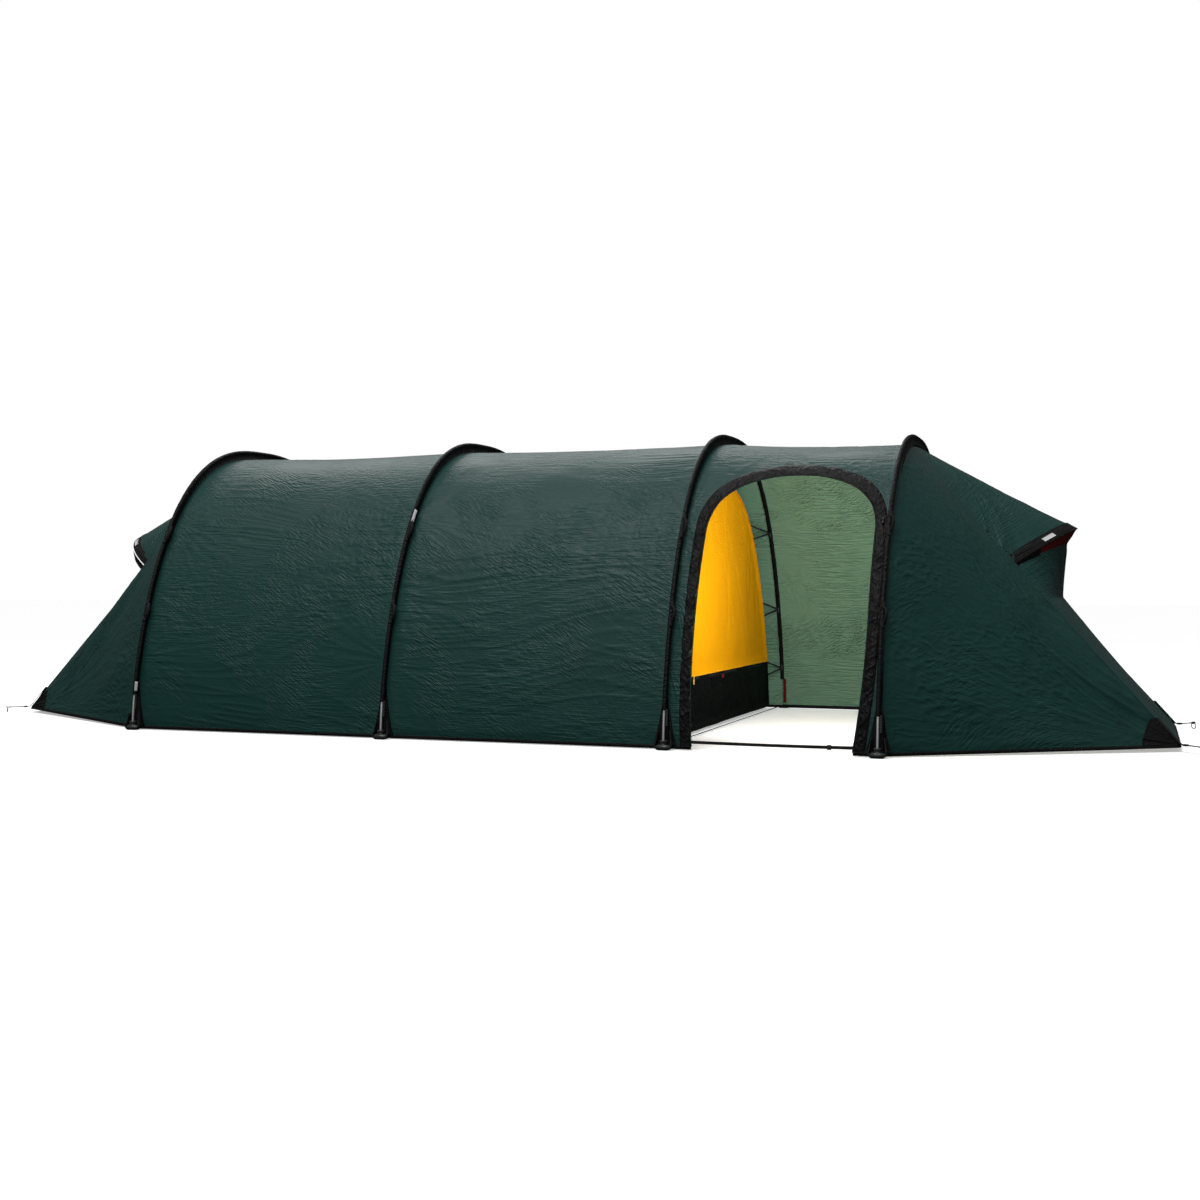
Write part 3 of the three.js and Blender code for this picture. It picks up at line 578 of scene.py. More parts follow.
def crests(tree, vector, detail):
    """Sharp crests, 1 on a crest, where a noise passes its middle."""
    centred = math_node(tree, "SUBTRACT", noise_node(tree, vector, 1.0, detail, 0.5), 0.5)
    off = math_node(tree, "ABSOLUTE", centred)
    near = math_node(tree, "SUBTRACT", 1.0, math_node(tree, "MULTIPLY", off, 2.0))
    return math_node(tree, "POWER", near, CREST_SHARPNESS)


def patch_node(tree, source, scale, low, high, least=0.12):
    """A mask of soft patches."""
    value = noise_node(tree, source, scale, 2.0)
    inputs = {"Value": value, "From Min": low, "From Max": high, "To Min": least}
    return node(tree, "ShaderNodeMapRange", inputs).outputs["Result"]


def patched(tree, height, source, scale, low, high):
    return math_node(tree, "MULTIPLY", height, patch_node(tree, source, scale, low, high))


def crackle(tree, vector):
    """Flat facets between sharp creases."""
    inputs = {"Vector": vector, "Scale": FACETS_PER_METRE}
    distance = node(tree, "ShaderNodeTexVoronoi", inputs, feature="DISTANCE_TO_EDGE").outputs["Distance"]
    return math_node(tree, "MINIMUM", distance, 0.25)


def cloth_material(name, color, rough, folds=0.0014, crumple=0.0026, ripstop=0.005, gloss=0.5, variety=0.16):
    """Coated ripstop with a grid of thicker threads, fine folds, crumples and uneven colour."""
    made, tree = start_material(name, Specular_IOR_Level=gloss)
    uv, body = in_cloth(tree), in_body(tree)
    cloudy = noise_node(tree, body, 3.0, 3.0)
    mottled = noise_node(tree, body, 90.0, 2.0)
    threads = thread_grid(tree, uv, ripstop)
    tone = mix_color(tree, cloudy, shade(color, 1 - variety), shade(color, 1 + variety))
    tone = mix_color(tree, math_node(tree, "MULTIPLY", threads, 0.35), tone, shade(color, 0.7))
    tone = mix_color(tree, math_node(tree, "MULTIPLY", mottled, 0.25), tone, shade(color, 0.8))
    bent = wandering(tree, uv, body)
    turned = node(tree, "ShaderNodeVectorRotate", {"Vector": bent, "Angle": SLANT}, rotation_type="Z_AXIS")
    level = crests(tree, mapped(tree, bent, LEVEL_FOLDS), 2.0)
    slanting = crests(tree, mapped(tree, turned.outputs["Vector"], SLANTING_FOLDS), 1.0)
    heights = [
        (patched(tree, level, body, 3.1, 0.40, 0.62), folds),
        (patched(tree, slanting, body, 4.3, 0.47, 0.6), folds),
    ]
    crackled = crackle(tree, wandering(tree, body, body, 14.0, 0.05))
    heights += [(patched(tree, crackled, body, 2.3, 0.46, 0.6), crumple), (threads, THREAD_HEIGHT)]
    dress(tree, tone, span_node(tree, mottled, rough - 0.07, rough + 0.07), heights)
    return made


def webbing_material(name, color, rough=0.75, pitch=0.0022):
    """Woven tape: diagonal ribs with a fine thread grain."""
    made, tree = start_material(name, Specular_IOR_Level=0.25)
    ribs = thread_grid(tree, mapped(tree, in_cloth(tree), turn=math.radians(35)), pitch)
    worn = noise_node(tree, in_body(tree), 60.0, 3.0)
    tone = mix_color(tree, worn, shade(color, 0.75), shade(color, 1.5))
    tone = mix_color(tree, math_node(tree, "MULTIPLY", ribs, 0.5), tone, shade(color, 1.8))
    dress(tree, tone, span_node(tree, worn, rough - 0.1, rough + 0.1), [(worn, 0.0006), (ribs, 0.0002)])
    return made


def metal_material(name, color, rough, metallic=1.0):
    """Drawn metal with fine scratches across it."""
    made, tree = start_material(name, Metallic=metallic)
    body = in_body(tree)
    brushed = noise_node(tree, mapped(tree, body, (1.0, 1.0, 0.04)), 900.0, 2.0)
    tone = mix_color(tree, noise_node(tree, body, 25.0, 3.0), shade(color, 0.82), shade(color, 1.06))
    dress(tree, tone, span_node(tree, brushed, rough - 0.08, rough + 0.12), [(brushed, 0.00004)])
    return made


def plastic_material(name, color, rough=0.42):
    """Moulded plastic with a fine grain, worn in places."""
    made, tree = start_material(name)
    body = in_body(tree)
    worn = noise_node(tree, body, 70.0, 3.0)
    tone = mix_color(tree, worn, shade(color, 0.8), shade(color, 1.35))
    grain = noise_node(tree, body, 1400.0, 2.0)
    dress(tree, tone, span_node(tree, worn, rough - 0.1, rough + 0.12), [(grain, 0.00005)])
    return made


def floor_material():
    made, tree = start_material("studio_floor", Emission_Color=(1, 1, 1, 1), Emission_Strength=0.38)
    cloudy = noise_node(tree, in_body(tree), 0.7, 3.0)
    tone = mix_color(tree, cloudy, shade((0.93,) * 3, 1), shade((0.95,) * 3, 1))
    dress(tree, tone, span_node(tree, cloudy, 0.75, 0.85))
    return made


GREEN = (0.0110, 0.052, 0.0455)
# The inside face's green, lightened far past the outer face's: painted light that stands in for daylight
# shining through the cloth.
LINING_WITH_PAINTED_GLOW = (0.20, 0.37, 0.245)
BLACK = (0.0060, 0.0060, 0.0064)
YELLOW = (0.93, 0.385, 0.001)
RED = (0.16, 0.008, 0.006)
MATERIALS = {
    "flysheet": cloth_material("flysheet", GREEN, 0.42, gloss=0.18),
    # The inside face: its green is lightened with painted glow of light through the cloth.
    "lining": cloth_material("flysheet_inside_painted_glow", LINING_WITH_PAINTED_GLOW, 0.65, folds=0.0045, crumple=0.0055, gloss=0.2),
    "black_cloth": cloth_material("black_cloth", BLACK, 0.55, folds=0.002, crumple=0.005, gloss=0.15),
    "vent": cloth_material("vent_cloth", RED, 0.7, ripstop=0.002, gloss=0.2),
    "inner": cloth_material("inner_cloth", YELLOW, 0.75, 0.0012, 0.003, gloss=0.06, variety=0.05),
    "tub": cloth_material("tub_cloth", (0.0032, 0.0032, 0.0035), 0.6, crumple=0.0030, gloss=0.06),
    "webbing": webbing_material("webbing", (0.010, 0.010, 0.011)),
    "elastic": webbing_material("elastic", (0.016, 0.016, 0.017), 0.8, 0.0012),
    "red_tape": webbing_material("red_tape", (0.13, 0.006, 0.005), 0.85),
    "reflective": cloth_material("reflective", (0.78, 0.79, 0.80), 0.35, 0.0002, 0.0001, variety=0.03),
    "zip": webbing_material("zip_tape", (0.010, 0.010, 0.011), 0.7, 0.0015),
    "zip_yellow": plastic_material("zip_yellow", (0.85, 0.45, 0.03), 0.5),
    "plastic": plastic_material("black_plastic", (0.018, 0.018, 0.019)),
    "cup": plastic_material("cup_plastic", (0.030, 0.031, 0.033), 0.34),
    "aluminium": metal_material("pole_aluminium", (0.82, 0.83, 0.84), 0.36, metallic=0.75),
    "steel": metal_material("ring_steel", (0.42, 0.42, 0.43), 0.22),
    "floor": floor_material(),
}


FLOOR_HALF = 40.0
floor_corners = [(x * FLOOR_HALF, y * FLOOR_HALF, 0) for x, y in ((-1, -1), (1, -1), (1, 1), (-1, 1))]
floor = make_object("floor", floor_corners, [[0, 1, 2, 3]], "floor", flat=True)
floor.visible_diffuse = False  # it throws no light back up, so that the walls darken towards the ground
floor.visible_glossy = False


# Flysheet: the three spans

SPAN_ROWS, SPAN_COLUMN = 900, 0.0115  # rows round a span and width of its columns
LINING_GAP = 0.0016
HEM_WIDTH, HEM_THICKNESS, HEM_INTO = 0.014, 0.0042, -0.0045
FAN_HEIGHTS = (0.30, 0.60, 0.95)  # distances round the arch at which a hoop holds the cloth
FAN_DEPTH, FAN_REACH, FAN_STRANDS = 0.0032, 0.26, 10.0


def sag_at(k):
    return RIDGE_SAG * 4 * k * (1 - k)


def span_grid(first, k, shares):
    """Points of the cloth between hoops first and first + 1, at the shares k of the span and of the arch."""
    columns = []
    for kk in k:
        high = HOOP_HIGH[first] + (HOOP_HIGH[first + 1] - HOOP_HIGH[first]) * kk
        x = HOOP_X[first] + (HOOP_X[first + 1] - HOOP_X[first]) * kk
        columns.append(in_3d(x, cloth_arch(high, sag_at(kk)).at(shares)))
    return np.stack(columns, 1)


def fan(x, s, centre, seed):
    """Folds that run out from a point where the cloth is held."""
    dx, ds = x - centre[0], s - centre[1]
    distance = np.hypot(dx, ds) + 1e-6
    angle = np.arctan2(ds, dx)
    fold = ridges(angle * FAN_STRANDS, distance / 0.35, seed)
    return fold * np.exp(-distance / FAN_REACH) * ramp(distance, 0.0, 0.05)


def span_folds(x, s, length, total, seed):
    """Height of the folds over a span, by the distance x along it and s round it."""
    lean = 0.20 * noise(x / 0.9, s / 0.5, seed)
    taut = 0.15 + 0.85 * ramp(noise(x / 0.4, s / 0.22, seed + 2), -0.15, 0.5)
    fine = ridges(x / 0.26, (s + lean * x) / 0.021, seed + 1) * taut
    broad = noise(x / 0.7, (s + 1.6 * lean * x) / 0.085, seed + 3)
    slow = noise(x / 0.5, s / 0.45, seed + 4)
    patch = ramp(noise(x / 0.28, s / 0.24, seed + 5), 0.05, 0.55)
    crumple = ridges(x / 0.030, s / 0.022, seed + 6) * patch
    height = 0.0021 * fine + 0.0012 * broad + 0.0024 * slow + 0.0018 * crumple
    for at_x in (0.0, length):
        for z in FAN_HEIGHTS:
            for centre in (z, total - z):
                height = height + FAN_DEPTH * fan(x, s, (at_x, centre), seed + 7 + int(10 * z))
    sewn = ramp(np.minimum(x, length - x), 0.0, 0.05) * ramp(np.minimum(s, total - s), 0.0, 0.03)
    return height * sewn


def span_surface(first, rows, columns, seed):
    """Points of a span with its folds, their place in the cloth and their normals."""
    length = HOOP_X[first + 1] - HOOP_X[first]
    k = np.linspace(0.0005, 0.9995, columns)
    shares = np.linspace(0, 1, rows)
    points = span_grid(first, k, shares)
    total = CLOTH_ARCHES[first].length
    x, s = np.meshgrid(k * length, shares * total)
    normal = grid_normals(points)
    normal *= np.sign(normal[rows // 2, columns // 2, 2])
    points = points + normal * span_folds(x, s, length, total, seed)[..., None]
    return points, np.stack((x + HOOP_X[first], s), -1), normal


def lining(name, points, normal, uv, outward, step=2):
    """The inner face of a panel, a coarser skin that stays inside every fold of the outer one."""
    rows, columns = points.shape[:2]
    padded = np.pad(points, ((step, step), (step, step), (0, 0)), mode="edge")
    deepest = np.zeros((rows, columns))
    for i in range(2 * step + 1):
        for j in range(2 * step + 1):
            rise = np.sum((padded[i : i + rows, j : j + columns] - points) * normal, -1)
            deepest = np.minimum(deepest, rise)
    inside = (points + normal * (deepest - LINING_GAP)[..., None])[::step, ::step]
    made = skin(name, inside, "lining", uv[::step, ::step], outward)
    made.data.flip_normals()
    return made


def hem(name, edge, normal):
    """Folded black binding along an edge of cloth, by the edge's points and normals in order."""
    across = np.cross(normal, unit(np.gradient(edge, axis=0)))
    across *= np.sign(across[len(across) // 2, 2] + 1e-9)
    distance = path_length(edge)
    wave = 0.0006 * noise(distance / 0.05, distance * 0, 77)[:, None]
    section = strap_section(HEM_WIDTH, HEM_THICKNESS, 4)
    path = edge + across * HEM_INTO + normal * wave
    return sweep(name, path, section, "black_cloth", basis=(across, normal))


def build_span(name, first, seed):
    length = HOOP_X[first + 1] - HOOP_X[first]
    columns = int(length / SPAN_COLUMN) | 1  # odd, so that the lining keeps the last column
    points, uv, normal = span_surface(first, SPAN_ROWS + 1, columns, seed)
    middle = (points[0, 0, 0] + length / 2, 0, 0.3)
    outer = skin(f"flysheet_{name}", points, "flysheet", uv, middle)
    inner = lining(f"flysheet_{name}_lining", points, normal, uv, middle)
    hems = join(f"flysheet_{name}_hem", [hem("hem", points[row], normal[row]) for row in (0, -1)])
    place(outer, "flysheet", stands_for=[f"outer_span_{name}"])
    place(inner, "flysheet")
    place(hems, "black_trim")


build_span("rear", 0, 100)
build_span("middle", 1, 200)


# Side door: its outline lies in the cloth's own coordinates,
# x along the tunnel and s round it from the near hem

DOOR_SPAN = HOOP_X[3] - HOOP_X[2]
DOOR_ARCH = cloth_arch(HOOP_HIGH[2], RIDGE_SAG)
DOOR_TOP = DOOR_SPRINGING + DOOR_RISE
DOOR_CURVE = 0.9  # power of the sine that rounds the opening's top
DOOR_K = np.linspace(0, 1, 25)  # shares of the span at which its arch is worked out
DOOR_ARCHES = [cloth_arch(HOOP_HIGH[2] + (HOOP_HIGH[3] - HOOP_HIGH[2]) * k, sag_at(k)) for k in DOOR_K]


def door_half(side, z, grown=0.0):
    """Half width of the opening, which narrows towards the ground."""
    pinch = DOOR_PINCH[side] * np.clip(1 - z / PINCH_BELOW, 0, 1) ** 2
    return DOOR_HALF + grown - pinch


def door_edge(side, s):
    """x of the opening's edge at each s, and the door's middle above the opening."""
    z = DOOR_ARCH.at(s / DOOR_ARCH.length)[..., 1]
    up = np.clip((s - DOOR_SPRINGING) / DOOR_RISE, 0, 1) ** (1 / DOOR_CURVE)
    half = np.where(s < DOOR_TOP - 1e-9, door_half(side, z) * np.sqrt(1 - up**2), 0)
    return DOOR_X + side * half


def door_cloth(x, s):
    """Points and outward normals of the door span's cloth at x and s, any shape of array."""
    k = (x - HOOP_X[2]) / DOOR_SPAN
    share = s / DOOR_ARCH.length
    place_k = np.clip(k, 0, 1) * (len(DOOR_K) - 1)
    low = np.minimum(place_k.astype(int), len(DOOR_K) - 2)
    part = (place_k - low)[..., None]

    def between(layers):
        below, above = (np.take_along_axis(layers, i[None, ..., None], 0)[0] for i in (low, low + 1))
        return below * (1 - part) + above * part

    points = between(np.stack([arch.at(share) for arch in DOOR_ARCHES]))
    out = between(np.stack([arch.normal(share) for arch in DOOR_ARCHES]))
    return in_3d(x, points), in_3d(np.zeros_like(x), out)


def door_folds(x, s):
    """Folds of the door span, with more of them next to the gathered band."""
    base = span_folds(x - HOOP_X[2], s, DOOR_SPAN, DOOR_ARCH.length, 300)
    edge = np.minimum(np.abs(x - door_edge(-1, s)), np.abs(x - door_edge(1, s)))
    close = np.exp(-edge / 0.05) * ramp(DOOR_TOP + 0.25 - s, 0.0, 0.2)
    pulled = ridges(x / 0.05, (s + 0.4 * np.abs(x - DOOR_X)) / 0.024, 320)
    return base + 0.0016 * close * pulled


def door_side(side, columns=61):
    """Grid of one side of the door span, from the hoop to the opening's edge or, above it, to its middle."""
    turn = np.linspace(0, math.pi / 2, 70)
    rows = np.concatenate(
        (
            np.linspace(0, DOOR_SPRINGING, 170, endpoint=False),
            DOOR_SPRINGING + DOOR_RISE * np.sin(turn) ** DOOR_CURVE,
            np.linspace(DOOR_TOP, DOOR_ARCH.length, 501)[1:],
        )
    )
    hoop = HOOP_X[2] + SEAM_GAP if side < 0 else HOOP_X[3] - SEAM_GAP
    part = np.linspace(0, 1, columns)
    x = hoop + (door_edge(side, rows)[:, None] - hoop) * part
    s = np.broadcast_to(rows[:, None], x.shape)
    points, out = door_cloth(x, s)
    return points + out * door_folds(x, s)[..., None], out, np.stack((x, s), -1), rows


def build_door_span():
    outers, inners, hems = [], [], []
    middle = (DOOR_X, 0, 0.3)
    for side in (-1, 1):
        points, out, uv, rows = door_side(side)
        outers.append(skin("outer", points, "flysheet", uv, middle))
        inners.append(lining("inner", points, out, uv, middle))
        hems.append(hem("hem", points[0], out[0]))
        # The turned edge of the opening, in the flysheet's own cloth.
        rim = rows <= DOOR_TOP + 1e-6
        turned_edge = points[rim, -1] - out[rim, -1] * 0.002
        hems.append(sweep("edge", turned_edge, ring_section(0.0024, 8, 1.6), "flysheet", up=(0, -1, 0.2)))
    x = np.linspace(HOOP_X[2] + SEAM_GAP, HOOP_X[3] - SEAM_GAP, 101)
    edge, edge_out = door_cloth(x, np.full_like(x, DOOR_ARCH.length))
    hems.append(hem("hem", edge, edge_out))
    outer = weld(join("flysheet_door", outers), 2e-5, turned_out=False)
    inner = weld(join("flysheet_door_lining", inners), 2e-5, turned_out=False)
    hems = join("flysheet_door_hem", hems)
    place(outer, "flysheet", stands_for=["outer_span_door"])
    place(inner, "flysheet")
    place(hems, "black_trim")


build_door_span()


def band_path(grown_side, grown_top, stations):
    """x, s and distance along the outline of the opening, grown a little: up one side, over and down."""
    reach = DOOR_SPRINGING
    arc = math.pi / 2 * (DOOR_HALF + DOOR_RISE)
    total = 2 * reach + arc
    along = np.linspace(0, total, stations)
    angle = np.clip((along - reach) / arc, 0, 1) * math.pi
    s = np.where(along < reach, along, np.where(along > reach + arc, total - along, 0))
    over = (along >= reach) & (along <= reach + arc)
    s = np.where(over, reach + (DOOR_RISE + grown_top) * np.sin(angle).clip(0) ** DOOR_CURVE, s)
    z = DOOR_ARCH.at(s / DOOR_ARCH.length)[..., 1]
    side = np.where(angle < math.pi / 2, -1, 1)
    half = np.where(side < 0, door_half(-1, z, grown_side), door_half(1, z, grown_side))
    x = DOOR_X + np.where(over, -np.cos(angle), side) * half
    return x, s, along


def build_door_band():
    """The door's cloth rolled back and gathered into a puffed band round the opening."""
    stations, columns = 1060, 33
    part = np.linspace(0, 1, columns)
    grids = [band_path(BAND_SIDE * w + 0.001, BAND_TOP * w + 0.001, stations) for w in part]
    x, s, along = (np.stack([grid[k] for grid in grids], 1) for k in range(3))
    points, out = door_cloth(x, s)
    width = BAND_SIDE * part
    puff = np.sin(math.pi * part).clip(0) ** 0.45
    slant = along + 0.8 * width + 0.010 * noise(along / 0.06, width / 0.05, 400)
    gathered = ramp(noise(along / 0.10, width / 0.1, 407), -0.5, 0.3)
    deep = ridges(slant / 0.030, width / 0.040 + along / 0.25, 401) * gathered
    fine = ridges((along - 0.6 * width) / 0.014, width / 0.014 + along / 0.1, 402)
    tiny = ridges(along / 0.0075, width / 0.010, 406)
    lump = noise(along / 0.035, width / 0.022, 403)
    height = 0.0026 + puff * (0.0046 + 0.0040 * deep + 0.0026 * fine + 0.0010 * tiny + 0.0028 * lump)
    drift = noise(along / 0.045, width / 0.04, 404) + noise(along / 0.014, width / 0.03, 405)
    points[..., 0] += 0.0030 * drift * puff
    surface = points + out * height[..., None]
    back = points + out * 0.0022
    uv = np.stack((along, np.broadcast_to(width, along.shape)), -1)
    made = shell("door_band_gathered", surface, back, "black_cloth", uv)
    turn_out(made)
    cut_size(surface)
    place(made, "black_trim", stands_for=["door_band"])
    line, zip_out = door_cloth(*band_path(-0.0015, -0.0015, 900)[:2])
    teeth = 0.0016 + 0.0006 * (np.arange(900) % 3 == 0)
    zipper = sweep("door_zip_teeth", line + zip_out * 0.0035, thick_ring(teeth, 8), "zip", up=(0, -1, 0.2))
    place(zipper, "zip_slider")


build_door_band()


# Vestibules

CORNER_REACH = 1.03  # length of the cloth from the hoop's foot to the vestibule's corner
WALL_INSET = 0.0015
LABEL_DROP, LABEL_INTO, LABEL_FROM, LABEL_TO = 0.042, 0.012, 0.03, 0.74
BRIM_WIDTH, BRIM_WIDER = 0.040, 0.010
PATCH_FROM, PATCH_TO, PATCH_COLUMNS = 0.47, 0.64, [4, 5, 7, 8, 9]
VENT_REACH = 0.97  # share of the opening under the hood that the vent's cloth covers


def free_edge(end, share):
    """The vestibule's free edge by share of the hoop's arch: crease, brim over its tip, crease."""
    share = np.asarray(share, float)
    side = np.where(share < 0.5, -1.0, 1.0)
    climb = np.minimum(share, 1 - share)
    corner, rim_end, tip = (np.array(end[key]) for key in ("corner", "rim_end", "tip"))
    k = np.clip(climb / BRIM_FROM, 0, 1)[..., None]
    low = corner + (rim_end - corner) * k
    away = np.clip(1 - (climb - BRIM_FROM) / (0.5 - BRIM_FROM), 0, 1)
    reach = tip[0] + (rim_end[0] - tip[0]) * away ** end["brim_power"]
    z = tip[2] + (rim_end[2] - tip[2]) * away ** end["brim_rise"]
    high = np.stack((reach, rim_end[1] * away, z), -1)
    place_at = np.where((climb <= BRIM_FROM)[..., None], low, high)
    x = HOOP_X[end["hoop"]] + end["sign"] * place_at[..., 0]
    return np.stack((x, side * place_at[..., 1], place_at[..., 2]), -1)


def vestibule_cloth(end, share, k):
    """The side and roof cloth at share of the arch and k from the hoop to the free edge."""
    start = CLOTH_ARCHES[end["hoop"]].at(share)
    start = in_3d(HOOP_X[end["hoop"]] + end["sign"] * SEAM_GAP, start)
    return start + (free_edge(end, share) - start) * k[..., None]


def brim_shares(count):
    return np.linspace(BRIM_FROM, 1 - BRIM_FROM, count)


def vestibule_grid(end, columns=143):
    """Points, normals, share of the arch and distance from the hoop over a vestibule's cloth."""
    low = np.linspace(0, BRIM_FROM, 291)[:-1]
    share = np.concatenate((low, brim_shares(131), 1 - low[::-1]))
    k = np.linspace(0, 1, columns)
    share, k = plane(share, k)
    points = vestibule_cloth(end, share, k)
    normal = grid_normals(points)
    # Each panel keeps its own normals at the two creases.
    normal *= np.sign(np.sum(normal * (points - np.array((points[0, 0, 0], 0, 0.2))), -1, keepdims=True))
    return points, normal, share, k


def about_corner(end, share, k):
    """Distance from the vestibule's corner in the cloth, and the turn about it from the hem."""
    climb = np.minimum(share, 1 - share)
    up = climb * CLOTH_ARCHES[end["hoop"]].length * 0.5
    back = (1 - k) * CORNER_REACH
    return np.hypot(back, up), np.arctan2(up, back + 1e-6)


def vestibule_folds(end, share, k, seed):
    """Height of the folds over a vestibule's side and roof cloth."""
    arch_length = CLOTH_ARCHES[end["hoop"]].length
    climb = np.minimum(share, 1 - share)
    side = (share > 0.5) * 41.0
    s = climb * arch_length
    u = k * 1.1
    off_roof = ramp(BRIM_FROM - climb, 0.0, 0.03)
    on_roof = ramp(climb - BRIM_FROM, 0.0, 0.012)
    # Folds run out from under the hoop's top, to the brim's end and down to the corner.
    slope = (0.5 - climb) / np.maximum(k, 0.02) + 1e-6
    strand = ridges(np.log(slope + 0.02) * 9 + side, k * 1.6, seed)
    fine_strand = ridges(np.log(slope + 0.02) * 19 + side, k * 2.6, seed + 9)
    to_brim = np.exp(-((np.log(slope / 0.074)) / 0.34) ** 2)
    to_corner = np.exp(-((np.log(slope / 0.46)) / 0.34) ** 2)
    long_folds = (strand + 0.5 * fine_strand) * 0.0085 * to_brim * ramp(k, 0.02, 0.4)
    long_folds = long_folds + (strand + 0.8 * fine_strand) * 0.0050 * to_corner * ramp(k, 0.1, 0.6)
    beside_brim = ramp(0.075 - slope, 0.0, 0.02) * ramp(k, 0.15, 0.5)
    long_folds = long_folds + 0.0030 * beside_brim * ridges(slope * 130 + side, k * 2.5, seed + 10)
    # Short ones run level from the hoop.
    taut = 0.3 + 0.7 * ramp(noise(u / 0.35, s / 0.25 + side, seed + 2), -0.2, 0.5)
    level = ridges(u / 0.22 + side, s / 0.024, seed + 1) * taut
    patch = ramp(noise(u / 0.24 + side, s / 0.2, seed + 3), 0.0, 0.5)
    crumple = ridges(u / 0.034 + s / 0.060 + side, s / 0.026 - u / 0.070, seed + 4) * (0.3 + 0.7 * patch)
    slow = noise(u / 0.3 + side, s / 0.25, seed + 5)
    broad = noise(u / 0.45 + side, s / 0.075, seed + 6)
    height = (0.0010 * level + 0.0036 * crumple) * (1 - 0.5 * k) + 0.003 * slow + 0.0012 * broad
    # Close to the corner the cloth gathers towards it.
    from_corner, turn = about_corner(end, share, k)
    gathered = ridges(turn * 19 + side, from_corner / 0.4, seed + 7) * np.exp(-from_corner / 0.85)
    height = height + 0.0042 * gathered * ramp(from_corner, 0.02, 0.3)
    drop = 0.010 * np.sin(math.pi * k) * np.sin(math.pi * np.clip(climb / BRIM_FROM, 0, 1))
    fine = 0.0010 * ridges((share - 0.5) * 90, k * 1.5, seed + 8) * k
    roof = on_roof * (fine - 0.006 * np.sin(math.pi * k))
    held = ramp(k, 0, 0.04) * ramp(1 - k, 0, 0.03) * ramp(climb, 0, 0.01)
    return held * (height * np.maximum(off_roof, 0.25) + long_folds - drop + roof)


def wall_point(end, rise, across):
    """The end wall: rise from the ground to under the hood, across from -1 to 1."""
    corner, rim_end = end["corner"], end["rim_end"]
    fold_rise = (WALL_FOLD_Z - corner[2]) / (rim_end[2] - corner[2])
    edge = [corner[i] + (rim_end[i] - corner[i]) * rise for i in range(3)]
    above = np.clip((rise - fold_rise) / (1 - fold_rise), 0, 1)
    fold_reach = corner[0] + (rim_end[0] - corner[0]) * fold_rise + WALL_FOLD_BOW
    low = corner[0] + (fold_reach - corner[0]) * np.clip(rise / fold_rise, 0, 1)
    reach = np.where(above > 0, fold_reach + (WALL_TOP_REACH - fold_reach) * above**1.6, low)
    z = np.where(above > 0, WALL_FOLD_Z + (WALL_TOP_Z - WALL_FOLD_Z) * above, edge[2])
    bow = 1 - np.abs(across) ** (2 - 0.5 * above)
    x = HOOP_X[end["hoop"]] + end["sign"] * (edge[0] + (reach - edge[0]) * bow - WALL_INSET * (1 - bow))
    return np.stack((x, across * (edge[1] - WALL_INSET), edge[2] + (z - edge[2]) * bow), -1)


def wall_folds(rise, across, seed):
    pull = ridges(across * (1.4 - 0.8 * rise) / 0.06, rise / 0.5, seed)
    near_top = ramp(rise, 0.45, 1.0)
    taut = ramp(noise(across / 0.5, rise / 0.3, seed + 2), -0.2, 0.5)
    level = ridges(across / 0.7, rise / 0.05, seed + 1) * taut
    slow = noise(across / 0.5, rise / 0.25, seed + 3)
    held = ramp(1 - np.abs(across), 0, 0.06) * ramp(rise, 0, 0.03) * ramp(1 - rise, 0, 0.03)
    return held * (0.0035 * pull * near_top + 0.0012 * level + 0.004 * slow)


def inside_of(end):
    """A point inside a vestibule, which its panels look away from."""
    return (HOOP_X[end["hoop"]] + end["sign"] * 0.2, 0, 0.2)


def build_vestibule(name, end, seed):
    """The side and roof cloth, the end wall and the seams of one vestibule."""
    middle = inside_of(end)
    points, normal, share, k = vestibule_grid(end)
    points = points + normal * vestibule_folds(end, share, k, seed)[..., None]
    from_corner, turn = about_corner(end, share, k)
    uv = np.stack((from_corner, turn * 0.8), -1)
    outer = skin(f"flysheet_vestibule_{name}", points, "flysheet", uv, middle)
    inner = lining(f"flysheet_vestibule_{name}_lining", points, normal, uv, middle)
    hems = [hem("hem", points[row], normal[row]) for row in (0, -1)]

    rise, across = plane(np.linspace(0, 1, 101), np.linspace(-1, 1, 121))
    wall = wall_point(end, rise, across)
    wall_normal = grid_normals(wall)
    wall_normal *= np.sign(wall_normal[50, 60, 0]) * end["sign"]
    wall = wall + wall_normal * wall_folds(rise, across, seed + 20)[..., None]
    wall_uv = np.stack((across * 0.44, rise * 0.9), -1)
    wall_out = skin(f"end_wall_{name}_cloth", wall, "flysheet", wall_uv, middle)
    wall_in = lining(f"end_wall_{name}_lining", wall, wall_normal, wall_uv, middle)
    wall_hem = hem(f"end_wall_{name}_hem", wall[0], wall_normal[0])
    for foot, head in ((0, BRIM_FROM), (1, 1 - BRIM_FROM)):
        crease = free_edge(end, np.linspace(foot, head, 120))
        hems.append(sweep("seam", crease, ring_section(0.0030, 8), "flysheet"))
    hems = join(f"flysheet_vestibule_{name}_hem", hems)
    for made, grid, pieces, node_name in (
        (outer, points, [inner, hems], f"outer_vestibule_{name}"),
        (wall_out, wall, [wall_in, wall_hem], f"end_wall_{name}"),
    ):
        cut_size(grid)
        place(made, "flysheet", stands_for=[node_name])
    place(inner, "flysheet")
    place(wall_in, "flysheet")
    place(hems, "black_trim")
    place(wall_hem, "black_trim")


build_vestibule("front", FRONT, 500)
build_vestibule("rear", REAR, 600)


